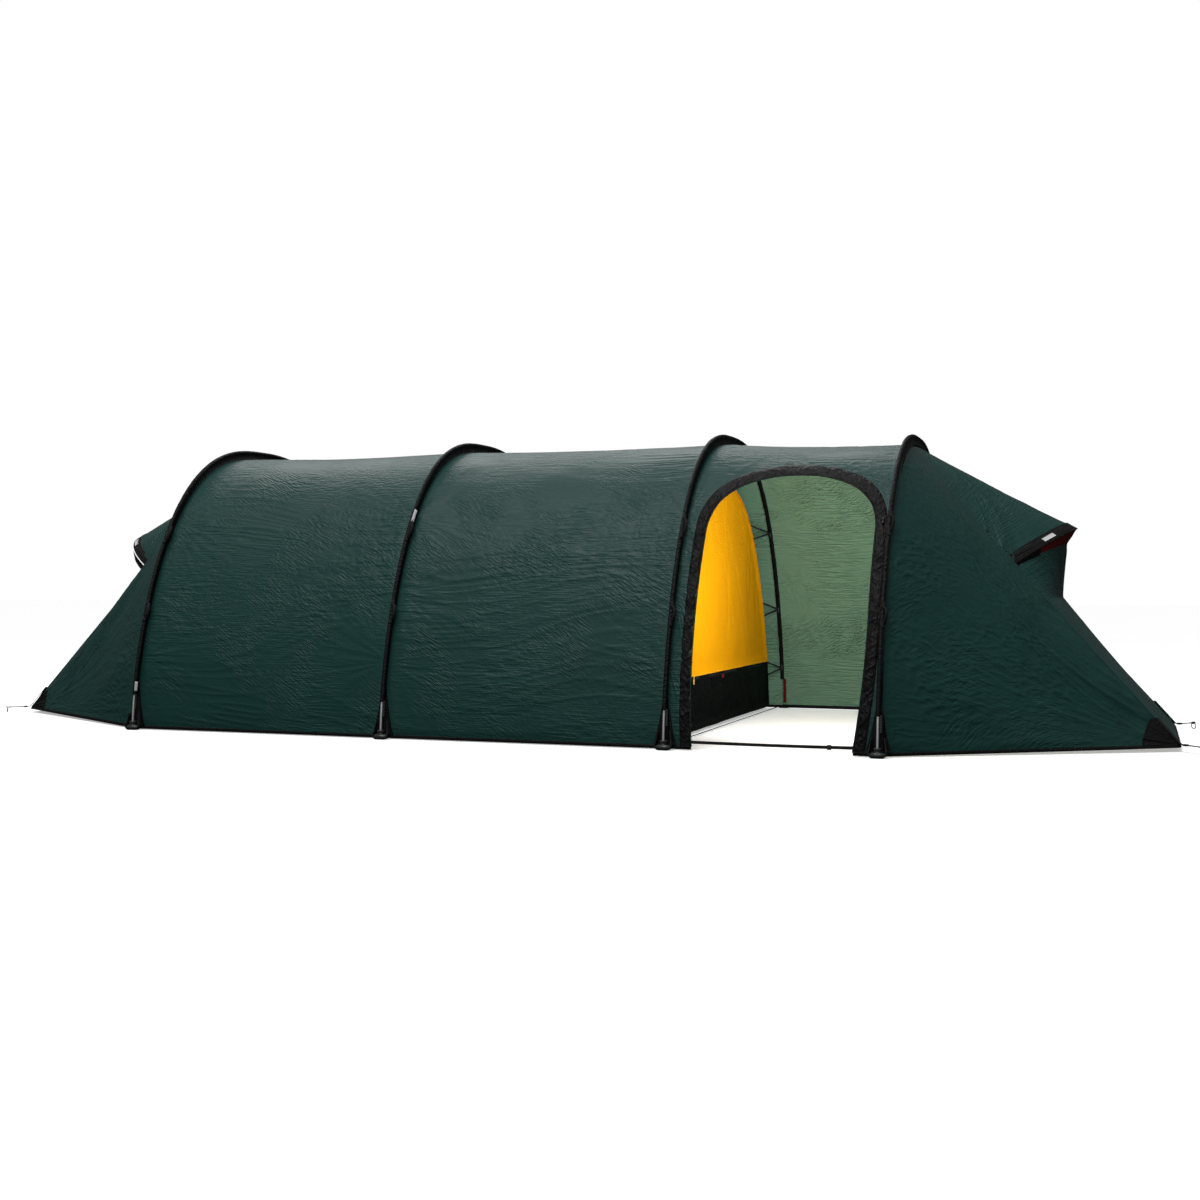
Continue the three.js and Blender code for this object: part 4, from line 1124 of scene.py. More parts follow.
def build_hood_label(name, end):
    """A blank black label that hangs from the brim's near end over the end wall, with a small grey tab."""
    top = free_edge(end, BRIM_FROM + 0.5 * (0.5 - BRIM_FROM) * np.linspace(LABEL_FROM, LABEL_TO, 25))
    drop = np.linspace(0, 1, 13)
    hang = np.array((-end["sign"] * LABEL_INTO, -0.004, -LABEL_DROP))
    lift = np.array((end["sign"] * 0.0045, -0.0045, 0))
    grid = top[:, None] + hang * drop[None, :, None] + lift
    uv = np.stack(plane(np.linspace(0, 0.08, 25), drop * LABEL_DROP), -1)
    label = slab(f"hood_label_{name}", grid, "black_cloth", uv, 0, 0.0016, inside_of(end))
    place(label, "black_trim")
    on_tab = (slice(2, 7), slice(9, 12))
    tab = slab(f"hood_tab_{name}", grid[on_tab], "reflective", uv[on_tab], 0.0018, 0.0026, inside_of(end))
    place(tab, "black_trim")


def build_brim(name, end, seed):
    """The hood's stiffened brim and the reflective patch on it."""
    share = brim_shares(161)
    length = np.linalg.norm(free_edge(end, share) - vestibule_cloth(end, share, 0 * share), axis=1)
    bend = 1 - np.abs(share - 0.5) / (0.5 - BRIM_FROM)
    width = (BRIM_WIDTH + BRIM_WIDER * bend)[:, None]
    part = np.linspace(0, 1, 13)[None]
    k = 1 - width * (1 - part) / length[:, None]
    points = vestibule_cloth(end, np.broadcast_to(share[:, None], k.shape), k)
    distance = share[:, None] * 3.2 + 0 * part
    strands = ridges(distance / 0.03, part / 0.6, seed)
    folds = 0.0012 * (strands + noise(distance / 0.05, part / 0.5, seed + 1))
    edge = np.sin(math.pi * (part * 0.96 + 0.02)) ** 0.3
    high = 0.0035 + (folds + 0.0015) * edge
    uv = np.stack((distance, part * width), -1)
    rim = slab(f"hood_rim_{name}_binding", points, "black_cloth", uv, 0.0012, high, inside_of(end))
    place(rim, "black_trim", stands_for=[f"hood_rim_{name}"])
    patch_share = BRIM_FROM + (0.5 - BRIM_FROM) * np.linspace(PATCH_FROM, PATCH_TO, 15)
    row = np.interp(patch_share, share, np.arange(len(share))).astype(int)
    grid = points[row][:, PATCH_COLUMNS]
    patch_uv = np.stack(plane(patch_share, np.linspace(0.35, 0.75, 5)), -1) * 0.1
    patch = slab(f"hood_patch_{name}", grid, "reflective", patch_uv, 0.0052, 0.0066, inside_of(end))
    place(patch, "black_trim")


def build_vent(name, end, seed):
    """The cloth that closes the gap between the end wall's top and the brim."""
    across, up = plane(np.linspace(-VENT_REACH, VENT_REACH, 61), np.linspace(0, 1, 15))
    low = wall_point(end, np.ones_like(across), across)
    behind = np.array((-end["sign"] * 0.004, 0, -0.002))
    brim = free_edge(end, 0.5 + across * (0.5 - BRIM_FROM)) + behind
    vent = low + (brim - low) * up[..., None]
    vent[..., 2] += 0.002 * noise(across / 0.12, up / 0.5, seed) * np.sin(math.pi * up)
    uv = np.stack((across * 0.35, up * 0.12), -1)
    made = skin(f"hood_vent_{name}_cloth", vent, "vent", uv, inside_of(end))
    cut_size(vent)
    place(made, "vent_mesh", stands_for=[f"hood_vent_{name}"])


for name, end, seed in (("front", FRONT, 700), ("rear", REAR, 720)):
    build_brim(name, end, seed)
    build_hood_label(name, end)
    build_vent(name, end, seed + 5)


# Hoops: sleeves, poles and feet

SLEEVE_RADIUS, SLEEVE_FOOT = 0.0085, 0.150
FLANGE, FLANGE_NECK = 0.010, 0.0028
TIP_LENGTH, TIP_TAPER = 0.006, 0.16  # a pole's tip below its hoop line, and how much thinner it is
FERRULE_EVERY, FERRULE_AT, FERRULE_HALF, FERRULE_THICK = 0.42, 0.30, 0.032, 0.0006
GUSSET_FOOT, GUSSET_HEAD, GUSSET_LOW, GUSSET_TOP = 0.090, 0.010, 0.022, 0.205
VESTIBULES = {0: REAR, 3: FRONT}


def hoop_line(index, low, count):
    """Points, outward normals and depth of the cloth below the pole, from one height round to the other."""
    arch = POLE_ARCHES[index]
    start = arch.at_height(low)
    share = np.linspace(start, 1 - start, count)
    out = arch.normal(share)
    depth = np.abs(out[:, 0]) * SIDE_INSET + np.abs(out[:, 1]) * TOP_INSET
    return in_3d(HOOP_X[index], arch.at(share)), in_3d(np.zeros(count), out), depth


def build_sleeve(index):
    """The hoop's black sleeve: a loose tube round the pole over a sewn flange."""
    path, out, depth = hoop_line(index, SLEEVE_FOOT, 760)
    distance = path_length(path)
    angle = np.radians(np.linspace(-52, 232, 19))
    run = distance[:, None]
    bunched = ramp(noise(run / 0.13, angle[None] * 0, 820 + index), -0.1, 0.6)
    loose = 1 + 0.05 * noise(run / 0.035, angle[None] * 1.1, 800 + index)
    loose += 0.10 * ridges(run / 0.012 + angle[None], angle[None] * 0.8, 810 + index) * bunched
    tube = np.stack((np.cos(angle) * SLEEVE_RADIUS * loose, np.sin(angle) * SLEEVE_RADIUS * loose), -1)
    flange = FLANGE + 0.001 * noise(distance / 0.02, distance * 0, 830 + index)
    right = [
        np.stack((flange, 0.0008 - depth), -1),
        np.stack((flange, 0.0022 - depth), -1),
        np.stack((FLANGE_NECK + 0 * depth, 0.0046 - depth), -1),
    ]
    left = [point * (-1, 1) for point in right[::-1]]
    section = np.concatenate((np.stack(right, 1), tube, np.stack(left, 1)), 1)
    made = sweep(f"sleeve_{index + 1}", path, section, "black_cloth", basis=level_basis(path, out))
    place(made, "sleeve", stands_for=[f"pole_sleeve_{index + 1}"])


def build_pole(index):
    """The bowed pole: tube sections with ferrules, tapered to tips that stand in the cups."""
    path, out, _ = hoop_line(index, BASE, 700)
    tip = (0, 0, TIP_LENGTH)
    path = np.concatenate((path[:1] - tip, path, path[-1:] - tip))
    out = np.concatenate((out[:1], out, out[-1:]))
    distance = path_length(path)
    beyond = np.minimum(distance, distance[-1] - distance)
    ferrule = ramp(FERRULE_HALF - np.abs((beyond % FERRULE_EVERY) - FERRULE_AT), 0.0, 0.002)
    radius = POLE_RADIUS * (1 - TIP_TAPER * ramp(0.024 - beyond, 0.0, 0.003)) + FERRULE_THICK * ferrule
    made = sweep(f"pole_{index + 1}", path, thick_ring(radius, 18), "aluminium", basis=level_basis(path, out))
    place(made, "pole", stands_for=[f"hoop_pole_{index + 1}"])


def on_side(share, side):
    """The same share of an arch counted from the foot on the far side, where side is 1."""
    return share if side < 0 else 1 - share


def cloth_beside(index, offset, share):
    """The flysheet at a distance along X from a hoop, on the span or the vestibule next to it."""
    span_side = in_3d(HOOP_X[index] + offset, CLOTH_ARCHES[index].at(share))
    end = VESTIBULES.get(index)
    if end is None:
        return span_side
    run = np.linalg.norm(free_edge(end, share) - in_3d(HOOP_X[index], CLOTH_ARCHES[index].at(share)), axis=-1)
    away = np.maximum(offset * end["sign"], 0)
    beside = vestibule_cloth(end, share, away / run)
    return np.where((away > 0)[..., None], beside, span_side)


def build_gusset(index, side_name, side):
    """The reinforcement at a foot: two tapered flaps on the cloth, folded up beside the pole."""
    arch = CLOTH_ARCHES[index]
    foot, head = arch.at_height(GUSSET_LOW), arch.at_height(GUSSET_TOP)
    up, part = plane(np.linspace(0, 1, 45), np.linspace(-1, 1, 37))
    share = on_side(foot + (head - foot) * up, side)
    width = GUSSET_FOOT + (GUSSET_HEAD - GUSSET_FOOT) * up**0.8
    points = cloth_beside(index, part * width / 2, share)
    flap = np.exp(-((np.abs(part) * width / 2 - 0.011) / 0.006) ** 2) * ramp(1 - up, 0.08, 0.3)
    pleat = ridges(part * width / 0.02 + 9, up / 0.8, 840 + index) * ramp(np.abs(part) * width, 0.012, 0.04)
    border = ramp(np.abs(part), 0.86, 0.9)
    high = 0.0045 + 0.009 * flap + 0.0018 * pleat + 0.0012 * border
    uv = np.stack((part * width, up * 0.19), -1)
    middle = (HOOP_X[index], 0, 0.3)
    made = slab(f"gusset_{index + 1}_{side_name}", points, "black_cloth", uv, 0.001, high, middle)
    place(made, "sleeve")


def lathe(name, profile, middle, material, axis=(0, 0, 1), count=48):
    """A turned solid; profile is points (radius, height) up the axis, from a point on it to another."""
    profile = np.asarray(profile, float)
    way = Vector(axis).to_track_quat("Z", "Y").to_matrix()
    x_way, y_way, z_way = (np.array(way.col[k]) for k in range(3))
    angle = np.linspace(0, 2 * math.pi, count, endpoint=False)
    ring = np.cos(angle)[:, None] * x_way + np.sin(angle)[:, None] * y_way
    points = np.asarray(middle) + profile[:, :1, None] * ring + profile[:, 1:, None] * z_way
    girth, up = np.meshgrid(angle * 0.01, path_length(profile))
    faces = grid_faces(len(profile), count, wrap=True)
    return weld(make_object(name, points, faces, material, np.stack((girth, up), -1)), 1e-6)


CUP_PROFILE = [
    (0, 0.003), (0.0105, 0.003), (0.012, 0.0042), (0.0142, 0.0095), (0.0149, 0.012), (0.0149, 0.0148),
    (0.0136, 0.0160), (0.0136, 0.0188), (0.0147, 0.0200), (0.0146, 0.0232), (0.0132, 0.0244),
    (0.0132, 0.0272), (0.0143, 0.0284), (0.0142, 0.0372), (0.0134, 0.0380), (0.0078, 0.0380),
    (0.0070, 0.0370), (0.0070, 0.0088), (0, 0.0086),
]
PAD_PROFILE = [
    (0, 0.0029), (0.0125, 0.0029), (0.0155, 0.0045), (0.0172, 0.0080), (0.0174, 0.0120), (0.0165, 0.0165),
    (0.0140, 0.0195), (0.0120, 0.0205), (0, 0.0205),
]
PAD_STRETCH = 1.75  # the pad is this much longer along the hem than across it
SLING_WIDTH, SLING_LOW = 0.024, 0.0016
SLING_LINE = [  # one half of the sling: along the hem from the pole, height, lean towards the tent
    (-0.024, 0.070, 0.016), (-0.029, 0.038, 0.010), (-0.032, 0.015, 0.001), (-0.020, 0.0024, 0),
]
LADDER_WIDTH, LADDER_THICKNESS, LADDER_LOW, LADDER_HIGH, RUNGS = 0.007, 0.0026, 0.092, 0.062, 7


def build_foot(index, side_name, side):
    """A pole end's cup in its webbing sling, with the ladder strap that tensions it."""
    tag = f"{index + 1}_{side_name}"
    x, y = HOOP_X[index], side * HOOP_HALF
    cup = lathe(f"cup_{tag}", CUP_PROFILE, (x, y, 0), "cup")
    place(cup, "foot_cup", stands_for=[f"pole_cup_{tag}"])
    pad = lathe(f"foot_pad_{tag}", PAD_PROFILE, (0, 0, 0), "cup")
    for vertex in pad.data.vertices:
        vertex.co = Vector((x + vertex.co.x * PAD_STRETCH, y + vertex.co.y, vertex.co.z))
    place(pad, "foot_cup")

    line = SLING_LINE + [(0, SLING_LOW, 0)] + [(-u, z, inward) for u, z, inward in SLING_LINE[::-1]]
    path = curve_through([(x + u, y - side * inward, z) for u, z, inward in line], 60)
    path[:, 2] = np.maximum(path[:, 2], SLING_LOW)
    way = unit(np.gradient(path, axis=0))
    out = unit(np.cross(way, (0, 1.0, 0)))
    thick = 0.0025 + 0.0022 * ramp(np.abs(path[:, 0] - x), 0.012, 0.030)
    section = np.stack([strap_section(SLING_WIDTH, t, 5) for t in thick])
    sling = sweep(f"sling_{tag}", path, section, "webbing", basis=(np.cross(out, way), out))
    place(sling, "webbing", stands_for=[f"foot_sling_{tag}"])

    up = np.linspace(0, 1, 81)
    rung = 1 + 0.4 * (np.sin(up * 2 * math.pi * RUNGS) > 0)
    ladder = np.stack((x + 0.0125 + 0 * up, y - side * 0.004 * up, LADDER_LOW + LADDER_HIGH * up), -1)
    section = strap_section(LADDER_WIDTH, LADDER_THICKNESS, 3)[None] + np.zeros((81, 1, 2))
    section[..., 0] *= rung[:, None]
    place(sweep(f"ladder_strap_{tag}", ladder, section, "plastic", up=(0, side, 0)), "webbing")


GUY_HEIGHTS = (0.51, 0.85)
GUY_BULGE = [(-0.034, 0.0), (-0.024, 0.005), (-0.008, 0.010), (0.010, 0.011), (0.024, 0.006), (0.033, 0.0)]


def sleeve_spot(index, side, z, off=0.0, aside=0.0):
    """A point on the outside of a sleeve at a height."""
    arch = POLE_ARCHES[index]
    share = on_side(arch.at_height(z), side)
    out = in_3d(0.0, arch.normal(share))
    return in_3d(HOOP_X[index], arch.at(share)) + out * off + np.array((aside, 0, 0))


def build_guy_loops(index):
    """Tape loops for guy lines on a sleeve, each tacked down at both ends."""
    parts = []
    for side in (-1, 1):
        for z in GUY_HEIGHTS:
            spots = [
                sleeve_spot(index, side, z + dz, 0.005 + off * 0.5, 0.0065 + off) for dz, off in GUY_BULGE
            ]
            tape = strap_section(0.013, 0.0032)
            parts.append(sweep("loop", curve_through(spots, 40), tape, "webbing", up=(1.0, side * 0.7, 0.2)))
            for dz in (-0.036, 0.036):
                tack = [sleeve_spot(index, side, z + dz + k * 0.009, 0.0086, 0.0045) for k in (-1, 0, 1)]
                tape = strap_section(0.012, 0.0018)
                parts.append(sweep("tack", curve_through(tack, 7), tape, "webbing", up=(0.5, side, 0.3)))
    place(join(f"guy_loops_{index + 1}", parts), "webbing")


def build_reflective_tab(name, index, low, high):
    spots = np.array([sleeve_spot(index, -1, z, 0.0052, 0.0088) for z in np.linspace(low, high, 9)])
    tab = sweep(name, spots, strap_section(0.013, 0.0016), "reflective", up=(1.0, -0.6, 0.2))
    place(tab, "webbing")


for index in range(4):
    build_sleeve(index)
    build_pole(index)
    build_guy_loops(index)
    for side_name, side in SIDES:
        build_gusset(index, side_name, side)
        build_foot(index, side_name, side)
build_reflective_tab("reflective_tab_middle", 1, 0.885, 0.935)
build_reflective_tab("reflective_tab_rear", 0, 0.165, 0.205)


# Corners

STRAP_WIDTH, STRAP_THICKNESS, STRAP_RISE, STRAP_REACH, STRAP_Z = 0.012, 0.002, 0.095, 0.075, 0.028
EYE_RADIUS, EYE_BORE = 0.006, 0.004
RING_RADIUS, RING_WIRE, RING_STEPS = 0.012, 0.0018, 64
BUCKLE_FROM, BUCKLE_LENGTH, BUCKLE_TRAVEL = 0.016, 0.014, 0.055
BUCKLE_HOLE, BUCKLE_OUTSIDE = (0.007, 0.002), (0.0095, 0.004)  # half width and half height
PATCH_RISE, PATCH_WIDTH, PATCH_NARROWS = 0.125, 0.150, 0.125
TAPE_THICKNESS, PLY = 0.0017, 0.0009  # one ply of the folded strap and its lift from the strap's middle
BUCKLE_FACETS = [  # share of the half length along the strap, share of the way from the hole to the outside
    (-0.92, 0.06), (0, 0), (0.92, 0.06), (1, 0.3), (1, 0.75), (0.9, 1), (0.62, 1), (0.5, 0.8),
    (-0.5, 0.8), (-0.62, 1), (-0.9, 1), (-1, 0.75), (-1, 0.3),
]


def corner_places(end, side):
    """The strap's corner, the eye at its far end and the level ways along and across it."""
    reach, half, z = end["corner"]
    sign = end["sign"]
    corner = np.array((HOOP_X[end["hoop"]] + sign * (reach + 0.004), side * (half + 0.004), z + 0.002))
    eye = np.array((corner[0] + sign * STRAP_REACH, corner[1] + side * STRAP_REACH, STRAP_Z))
    out = np.array((sign, side, 0)) / math.sqrt(2)
    return corner, eye, out, np.array((-out[1], out[0], 0))


def collar(name, middle, way, across, up):
    """A buckle round a strap: a closed band between two rounded rectangles, faceted along the strap."""
    angle = np.append(np.linspace(0, 2 * math.pi, 56, endpoint=False), 0)
    c, s = np.cos(angle), np.sin(angle)
    rounded = np.stack((np.sign(c) * np.abs(c) ** 0.35, np.sign(s) * np.abs(s) ** 0.35), -1)
    hole, outside = ((rounded * size) @ np.stack((across, up)) for size in (BUCKLE_HOLE, BUCKLE_OUTSIDE))
    along, k = np.array(BUCKLE_FACETS).T[..., None]
    points = hole[:, None] + (outside - hole)[:, None] * k + middle + way * along * BUCKLE_LENGTH / 2
    rows, columns = points.shape[:2]
    uv = np.stack(plane(np.arange(rows) * 0.001, np.arange(columns) * 0.001), -1)
    made = make_object(name, points, grid_faces(rows, columns, wrap=True), "plastic", uv)
    weld(made, 1e-7)
    bevel = made.modifiers.new("edges", "BEVEL")
    bevel.width = 0.0003
    bevel.segments = 2
    return made


def build_strap(name, end, side_name, side):
    """A corner's strap: down the crease, out to its eye and back under itself, with its buckle and ring."""
    corner, eye, out, across = corner_places(end, side)
    tag = f"{name}_{side_name}"
    climb = BRIM_FROM * STRAP_RISE / (end["rim_end"][2] - end["corner"][2])
    top = free_edge(end, on_side(climb, side)) + np.array((end["sign"] * 0.005, side * 0.006, 0.005))
    start = corner + out * 0.003
    crease = np.array([top + (start - top) * k for k in np.linspace(0, 0.88, 20)])
    bend = [crease[-1], start + (top - start) * 0.04, start + out * 0.006, start + out * 0.014]
    bend = curve_through(bend, 20)
    turn = np.linspace(math.pi / 2, -math.pi / 2, 21)[:, None]
    round_eye = eye + (np.cos(turn) * out + np.sin(turn) * UP) * (EYE_RADIUS + EYE_BORE) / 2

    def along_strap(run, lift):
        level = corner[2] + (STRAP_Z - corner[2]) * run / (STRAP_REACH * math.sqrt(2))
        return np.array((*(corner + out * run)[:2], level + lift))

    fold = BUCKLE_FROM + BUCKLE_LENGTH
    travel_end = fold + BUCKLE_TRAVEL + 0.003
    above = [along_strap(run, PLY) for run in (fold, travel_end)]
    below = [along_strap(run, -PLY) for run in (travel_end, fold, BUCKLE_FROM + 0.003)]
    runs = [crease[:-1], bend, curve_through([bend[-1], *above, round_eye[0]], 30)[1:]]
    runs += [round_eye[1:], curve_through([round_eye[-1], *below], 30)[1:]]
    path = np.concatenate(runs)
    side_way = np.broadcast_to(across, path.shape)
    basis = (side_way, np.cross(unit(np.gradient(path, axis=0)), side_way))
    tape = strap_section(STRAP_WIDTH, TAPE_THICKNESS, 5)
    strap = sweep(f"strap_{tag}", path, tape, "webbing", basis=basis)
    place(strap, "webbing", stands_for=[f"corner_strap_{tag}"])

    middle = along_strap(BUCKLE_FROM + BUCKLE_LENGTH / 2, 0)
    buckle = collar(f"buckle_{tag}", middle, out, across, UP)
    place(buckle, "buckle", f"buckle_{tag}", [f"strap_buckle_{tag}"])
    build_ring(tag, eye - UP * RING_RADIUS, out, across)


def build_ring(tag, centre, out, across):
    """The steel ring that takes a peg, hanging from the strap's eye."""
    turn = np.linspace(0, 2 * math.pi, RING_STEPS, endpoint=False)[:, None]
    round_way = np.cos(turn) * across + np.sin(turn) * UP
    wire = ring_section(RING_WIRE, 16)
    points = centre + round_way[:, None] * (RING_RADIUS + wire[None, :, :1]) + out * wire[None, :, 1:]
    count = RING_STEPS * 16
    faces = [[v % count for v in face] for face in grid_faces(RING_STEPS + 1, 16, wrap=True)]
    ring = make_object(f"ring_{tag}", points, faces, "steel", np.zeros((count, 2)))
    turn_out(ring)
    place(ring, "ring_steel", f"ring_{tag}", [f"stake_ring_{tag}"])


def build_corner_patch(name, end, side_name, side, seed):
    """The gathered black patch that spreads the strap's pull into the cloth."""
    climb_end = BRIM_FROM * PATCH_RISE / np.linalg.norm(np.subtract(end["rim_end"], end["corner"]))
    up, part = plane(np.linspace(0, 1, 49), np.linspace(0, 1, 49))
    share = on_side(climb_end * up + 1e-4, side)
    width = PATCH_WIDTH - PATCH_NARROWS * up**1.15
    run = np.linalg.norm(free_edge(end, share) - vestibule_cloth(end, share, 0 * share), axis=-1)
    points = vestibule_cloth(end, share, 1 - width * (1 - part) / run)
    across, rise = width * (1 - part), PATCH_RISE * up
    turn = np.arctan2(rise, across + 0.012)
    pleats = ridges(turn * 7.5, (across + rise) / 0.4, seed)
    spread = ramp(np.hypot(across, rise), 0.0, 0.05)
    frayed = 1 + 0.02 * noise(up * 9, part, seed + 1)
    high = 0.0034 + 0.0060 * pleats * spread * frayed
    uv = np.stack((across, rise), -1)
    name = f"corner_patch_{name}_{side_name}"
    place(slab(name, points, "black_cloth", uv, 0.0008, high, inside_of(end)), "black_trim")


for name, end in (("front", FRONT), ("rear", REAR)):
    for side_name, side in SIDES:
        build_strap(name, end, side_name, side)
        build_corner_patch(name, end, side_name, side, 900 + end["hoop"])


# Side door: sill, toggle and zip slider

BEHIND_BAND = 0.012
SILL_Y, SILL_Z, SILL_INSET, SILL_SAG = -(HOOP_HALF - SIDE_INSET), 0.032, 0.004, 0.0015
ADJUSTER_X, ADJUSTER_DROP = DOOR_X + 0.205, 0.001
TOGGLE_X, TOGGLE_Z, TOGGLE_RADIUS, TOGGLE_LENGTH = DOOR_X + 0.357, 0.866, 0.005, 0.030
TOGGLE_PROFILE = [  # shares of the toggle's radius and of its length
    (0, -0.5), (0.55, -0.5), (0.85, -0.47), (1, -0.4), (0.98, -0.33), (0.86, -0.2), (0.78, -0.05),
    (0.62, -0.03), (0.62, 0.03), (0.78, 0.05), (0.86, 0.2), (0.98, 0.33), (1, 0.4), (0.85, 0.47),
    (0.55, 0.5), (0, 0.5),
]
SLIDER_IN, SLIDER_Z = 0.0115, 0.090  # the door's zip slider: in from the opening's side, and its height
LOOP_CORD = 0.0013


def near_wall(x, z):
    """The door span's surface on the near side: a point, the way out and the way up it."""
    s = DOOR_ARCH.at_height(z) * DOOR_ARCH.length
    at, out = door_cloth(np.array([x]), np.array([s]))
    up = np.array((0, out[0, 2], -out[0, 1]))
    return at[0], out[0], up


def build_sill():
    """The strap across the foot of the opening and its sliding adjuster."""
    start = DOOR_X - DOOR_HALF + DOOR_PINCH[-1] + SILL_INSET
    stop = DOOR_X + DOOR_HALF - DOOR_PINCH[1] - SILL_INSET
    x = np.linspace(start - BEHIND_BAND, stop + BEHIND_BAND, 60)
    sag = SILL_SAG * np.sin(math.pi * (x - start) / (stop - start))
    path = np.stack((x, 0 * x + SILL_Y, SILL_Z - sag), -1)
    across = unit(np.stack((0 * x, 0.1 * noise(x / 0.1, x * 0, 950), 1 + 0 * x), -1))
    tape = strap_section(STRAP_WIDTH, STRAP_THICKNESS, 5)
    strap = sweep("sill_strap", path, tape, "webbing", basis=(across, np.cross(across, X_WAY)))
    place(strap, "webbing", stands_for=["door_sill_strap"])
    middle = np.array((ADJUSTER_X, SILL_Y, SILL_Z - ADJUSTER_DROP))
    adjuster = collar("sill_adjuster", middle, X_WAY, UP, Y_WAY)
    place(adjuster, "buckle", "sill_adjuster", ["door_sill_adjuster"])


def build_toggle():
    """The toggle that holds the rolled-back door, and the elastic loop it turns out of."""
    at, out, up = near_wall(TOGGLE_X, TOGGLE_Z)
    middle = at + out * (0.0022 + 0.005 + TOGGLE_RADIUS + 0.0006)
    profile = [(r * TOGGLE_RADIUS, k * TOGGLE_LENGTH) for r, k in TOGGLE_PROFILE]
    place(lathe("toggle", profile, middle, "plastic", axis=up), "buckle", "toggle", ["door_toggle"])
    turn = np.linspace(0, 2 * math.pi, 49)
    loop = [middle + out * (0.0058 * math.sin(a) - 0.0012) + X_WAY * 0.0078 * math.cos(a) for a in turn]
    knot = [loop[36] + X_WAY * d - out * 0.0012 for d in (-0.012, -0.005, 0.0, 0.006, 0.013)]
    cord = ring_section(LOOP_CORD, 10)
    parts = [
        sweep("loop", loop, cord, "elastic", up=up, caps=False),
        sweep("tail", curve_through(knot, 24), cord, "elastic", up=up),
    ]
    place(join("toggle_loop", parts), "elastic")


def build_door_zip():
    """The slider of the door's zip: its body, its bridge and its tape pull."""
    at, out, up = near_wall(DOOR_X - DOOR_HALF + 0.006, SLIDER_Z)
    at[0] += SLIDER_IN - 0.006

    def spots(rises, offs):
        return np.array([at + up * rise + out * off for rise, off in zip(rises, offs)])

    body = spots(np.linspace(0.009, -0.009, 19), [0] * 19)
    bulge = 1 - 0.35 * np.linspace(0, 1, 19) ** 1.5
    bulge[[0, -1]] *= 0.7
    bridge = curve_through(spots((0.005, 0.002, -0.003, -0.006), (0.0025, 0.0055, 0.0055, 0.0025)), 17)
    pull = spots(np.linspace(-0.004, -0.031, 22), [0.0018] * 22)
    parts = [
        sweep("body", body, thick_ring(0.0045 * bulge, 16, 0.66), "plastic", basis=level_basis(body, out)),
        sweep("bridge", bridge, ring_section(0.0011, 8), "plastic", up=X_WAY),
        sweep("pull", pull, strap_section(0.0042, 0.0020), "zip", basis=level_basis(pull, out)),
    ]
    place(join("door_zip_puller", parts), "zip_slider", "door_zip", ["door_zip_slider"])


build_sill()
build_toggle()
build_door_zip()


# Inner tent

INNER_ZIP_Y = -0.450
TUB_FLOOR, INNER_INSET, REAR_INSET = 0.017, 0.0015, 0.0012
TIE_RADIUS, TIE_WIDTH, TIE_SPREAD, TIE_LEVELS = 0.002, 0.008, 0.032, (0.190, 0.486, 0.858)
CLOTH_INSIDE = 0.0015 + 0.001 + TIE_RADIUS  # a tie's middle below its hoop's cloth


def build_inner():
    """The inner tent's canopy with its rear wall, and its front wall."""
    low = INNER_ARCH.at_height(TUB_HEIGHT)
    middle = ((INNER_BACK + INNER_FRONT) / 2, 0, 0.3)
    share, along = plane(np.linspace(low, 1 - low, 241), np.linspace(0, 1, 161))
    x = INNER_BACK + (INNER_FRONT - INNER_BACK) * along
    out = in_3d(0 * x, INNER_ARCH.normal(share))
    s = share * INNER_ARCH.length
    from_hem = np.minimum(share - low, 1 - low - share)
    slack = 0.012 * np.abs(np.sin(along * math.pi * 6)) ** 0.7 * ramp(from_hem, 0, 0.06)
    folds = 0.004 * noise(x / 0.3, s / 0.25, 1000) + 0.0016 * ridges(x / 0.05, s / 0.4, 1001)
    held = ramp(from_hem, 0, 0.02)
    inwards = out * (0.002 + slack + 0.004 - folds)[..., None] * held[..., None]
    points = in_3d(x, INNER_ARCH.at(share)) - inwards
    canopy = slab("canopy", points, "inner", np.stack((x, s), -1), 0, 0.0008, middle)
    back = inner_end("rear_wall", INNER_BACK + REAR_INSET, -1, low, 1002)
    body = join("inner_canopy_cloth", [canopy, back])
    place(body, "inner_fabric", stands_for=["inner_canopy"])
    front = inner_end("inner_front_cloth", INNER_FRONT - INNER_INSET, 1, low, 1003)
    place(front, "inner_fabric", stands_for=["inner_front_wall"])


def inner_end(name, x, sign, low, seed):
    """An end wall of the inner tent, hung from its arched top edge down to the line where the tub begins."""
    up, across = plane(np.linspace(0, 1, 121), np.linspace(-1, 1, 181))
    share = low + (0.5 - 1e-3 - low) * (1 - (1 - up) ** 1.25)
    edge = INNER_ARCH.at(share)
    y, z = across * np.abs(edge[..., 0]), edge[..., 1]
    hang = ridges(y / 0.09 + 0.5 * noise(z / 0.5, y / 0.5, seed), z / 0.9, seed + 1) * ramp(z, 0.24, 0.5)
    slant = ridges((y + 0.7 * z) / 0.10, (z - 0.5 * y) / 0.7, seed + 2)
    level = noise(y / 0.5, z / 0.05, seed + 3) * ramp(0.42 - z, 0.0, 0.18)
    slow = noise(y / 0.35, z / 0.3, seed + 4)
    held = ramp(1 - np.abs(across), 0, 0.05) * ramp(up, 0, 0.03) * ramp(1 - up, 0, 0.04)
    depth = (0.004 * hang + 0.003 * slant + 0.002 * level + 0.006 * slow) * held
    points = np.stack((x - sign * (0.004 * held + np.abs(depth)), y, z), -1)
    return slab(name, points, "inner", np.stack((y, z), -1), 0, 0.0008, (x - sign * 0.5, 0, 0.4))


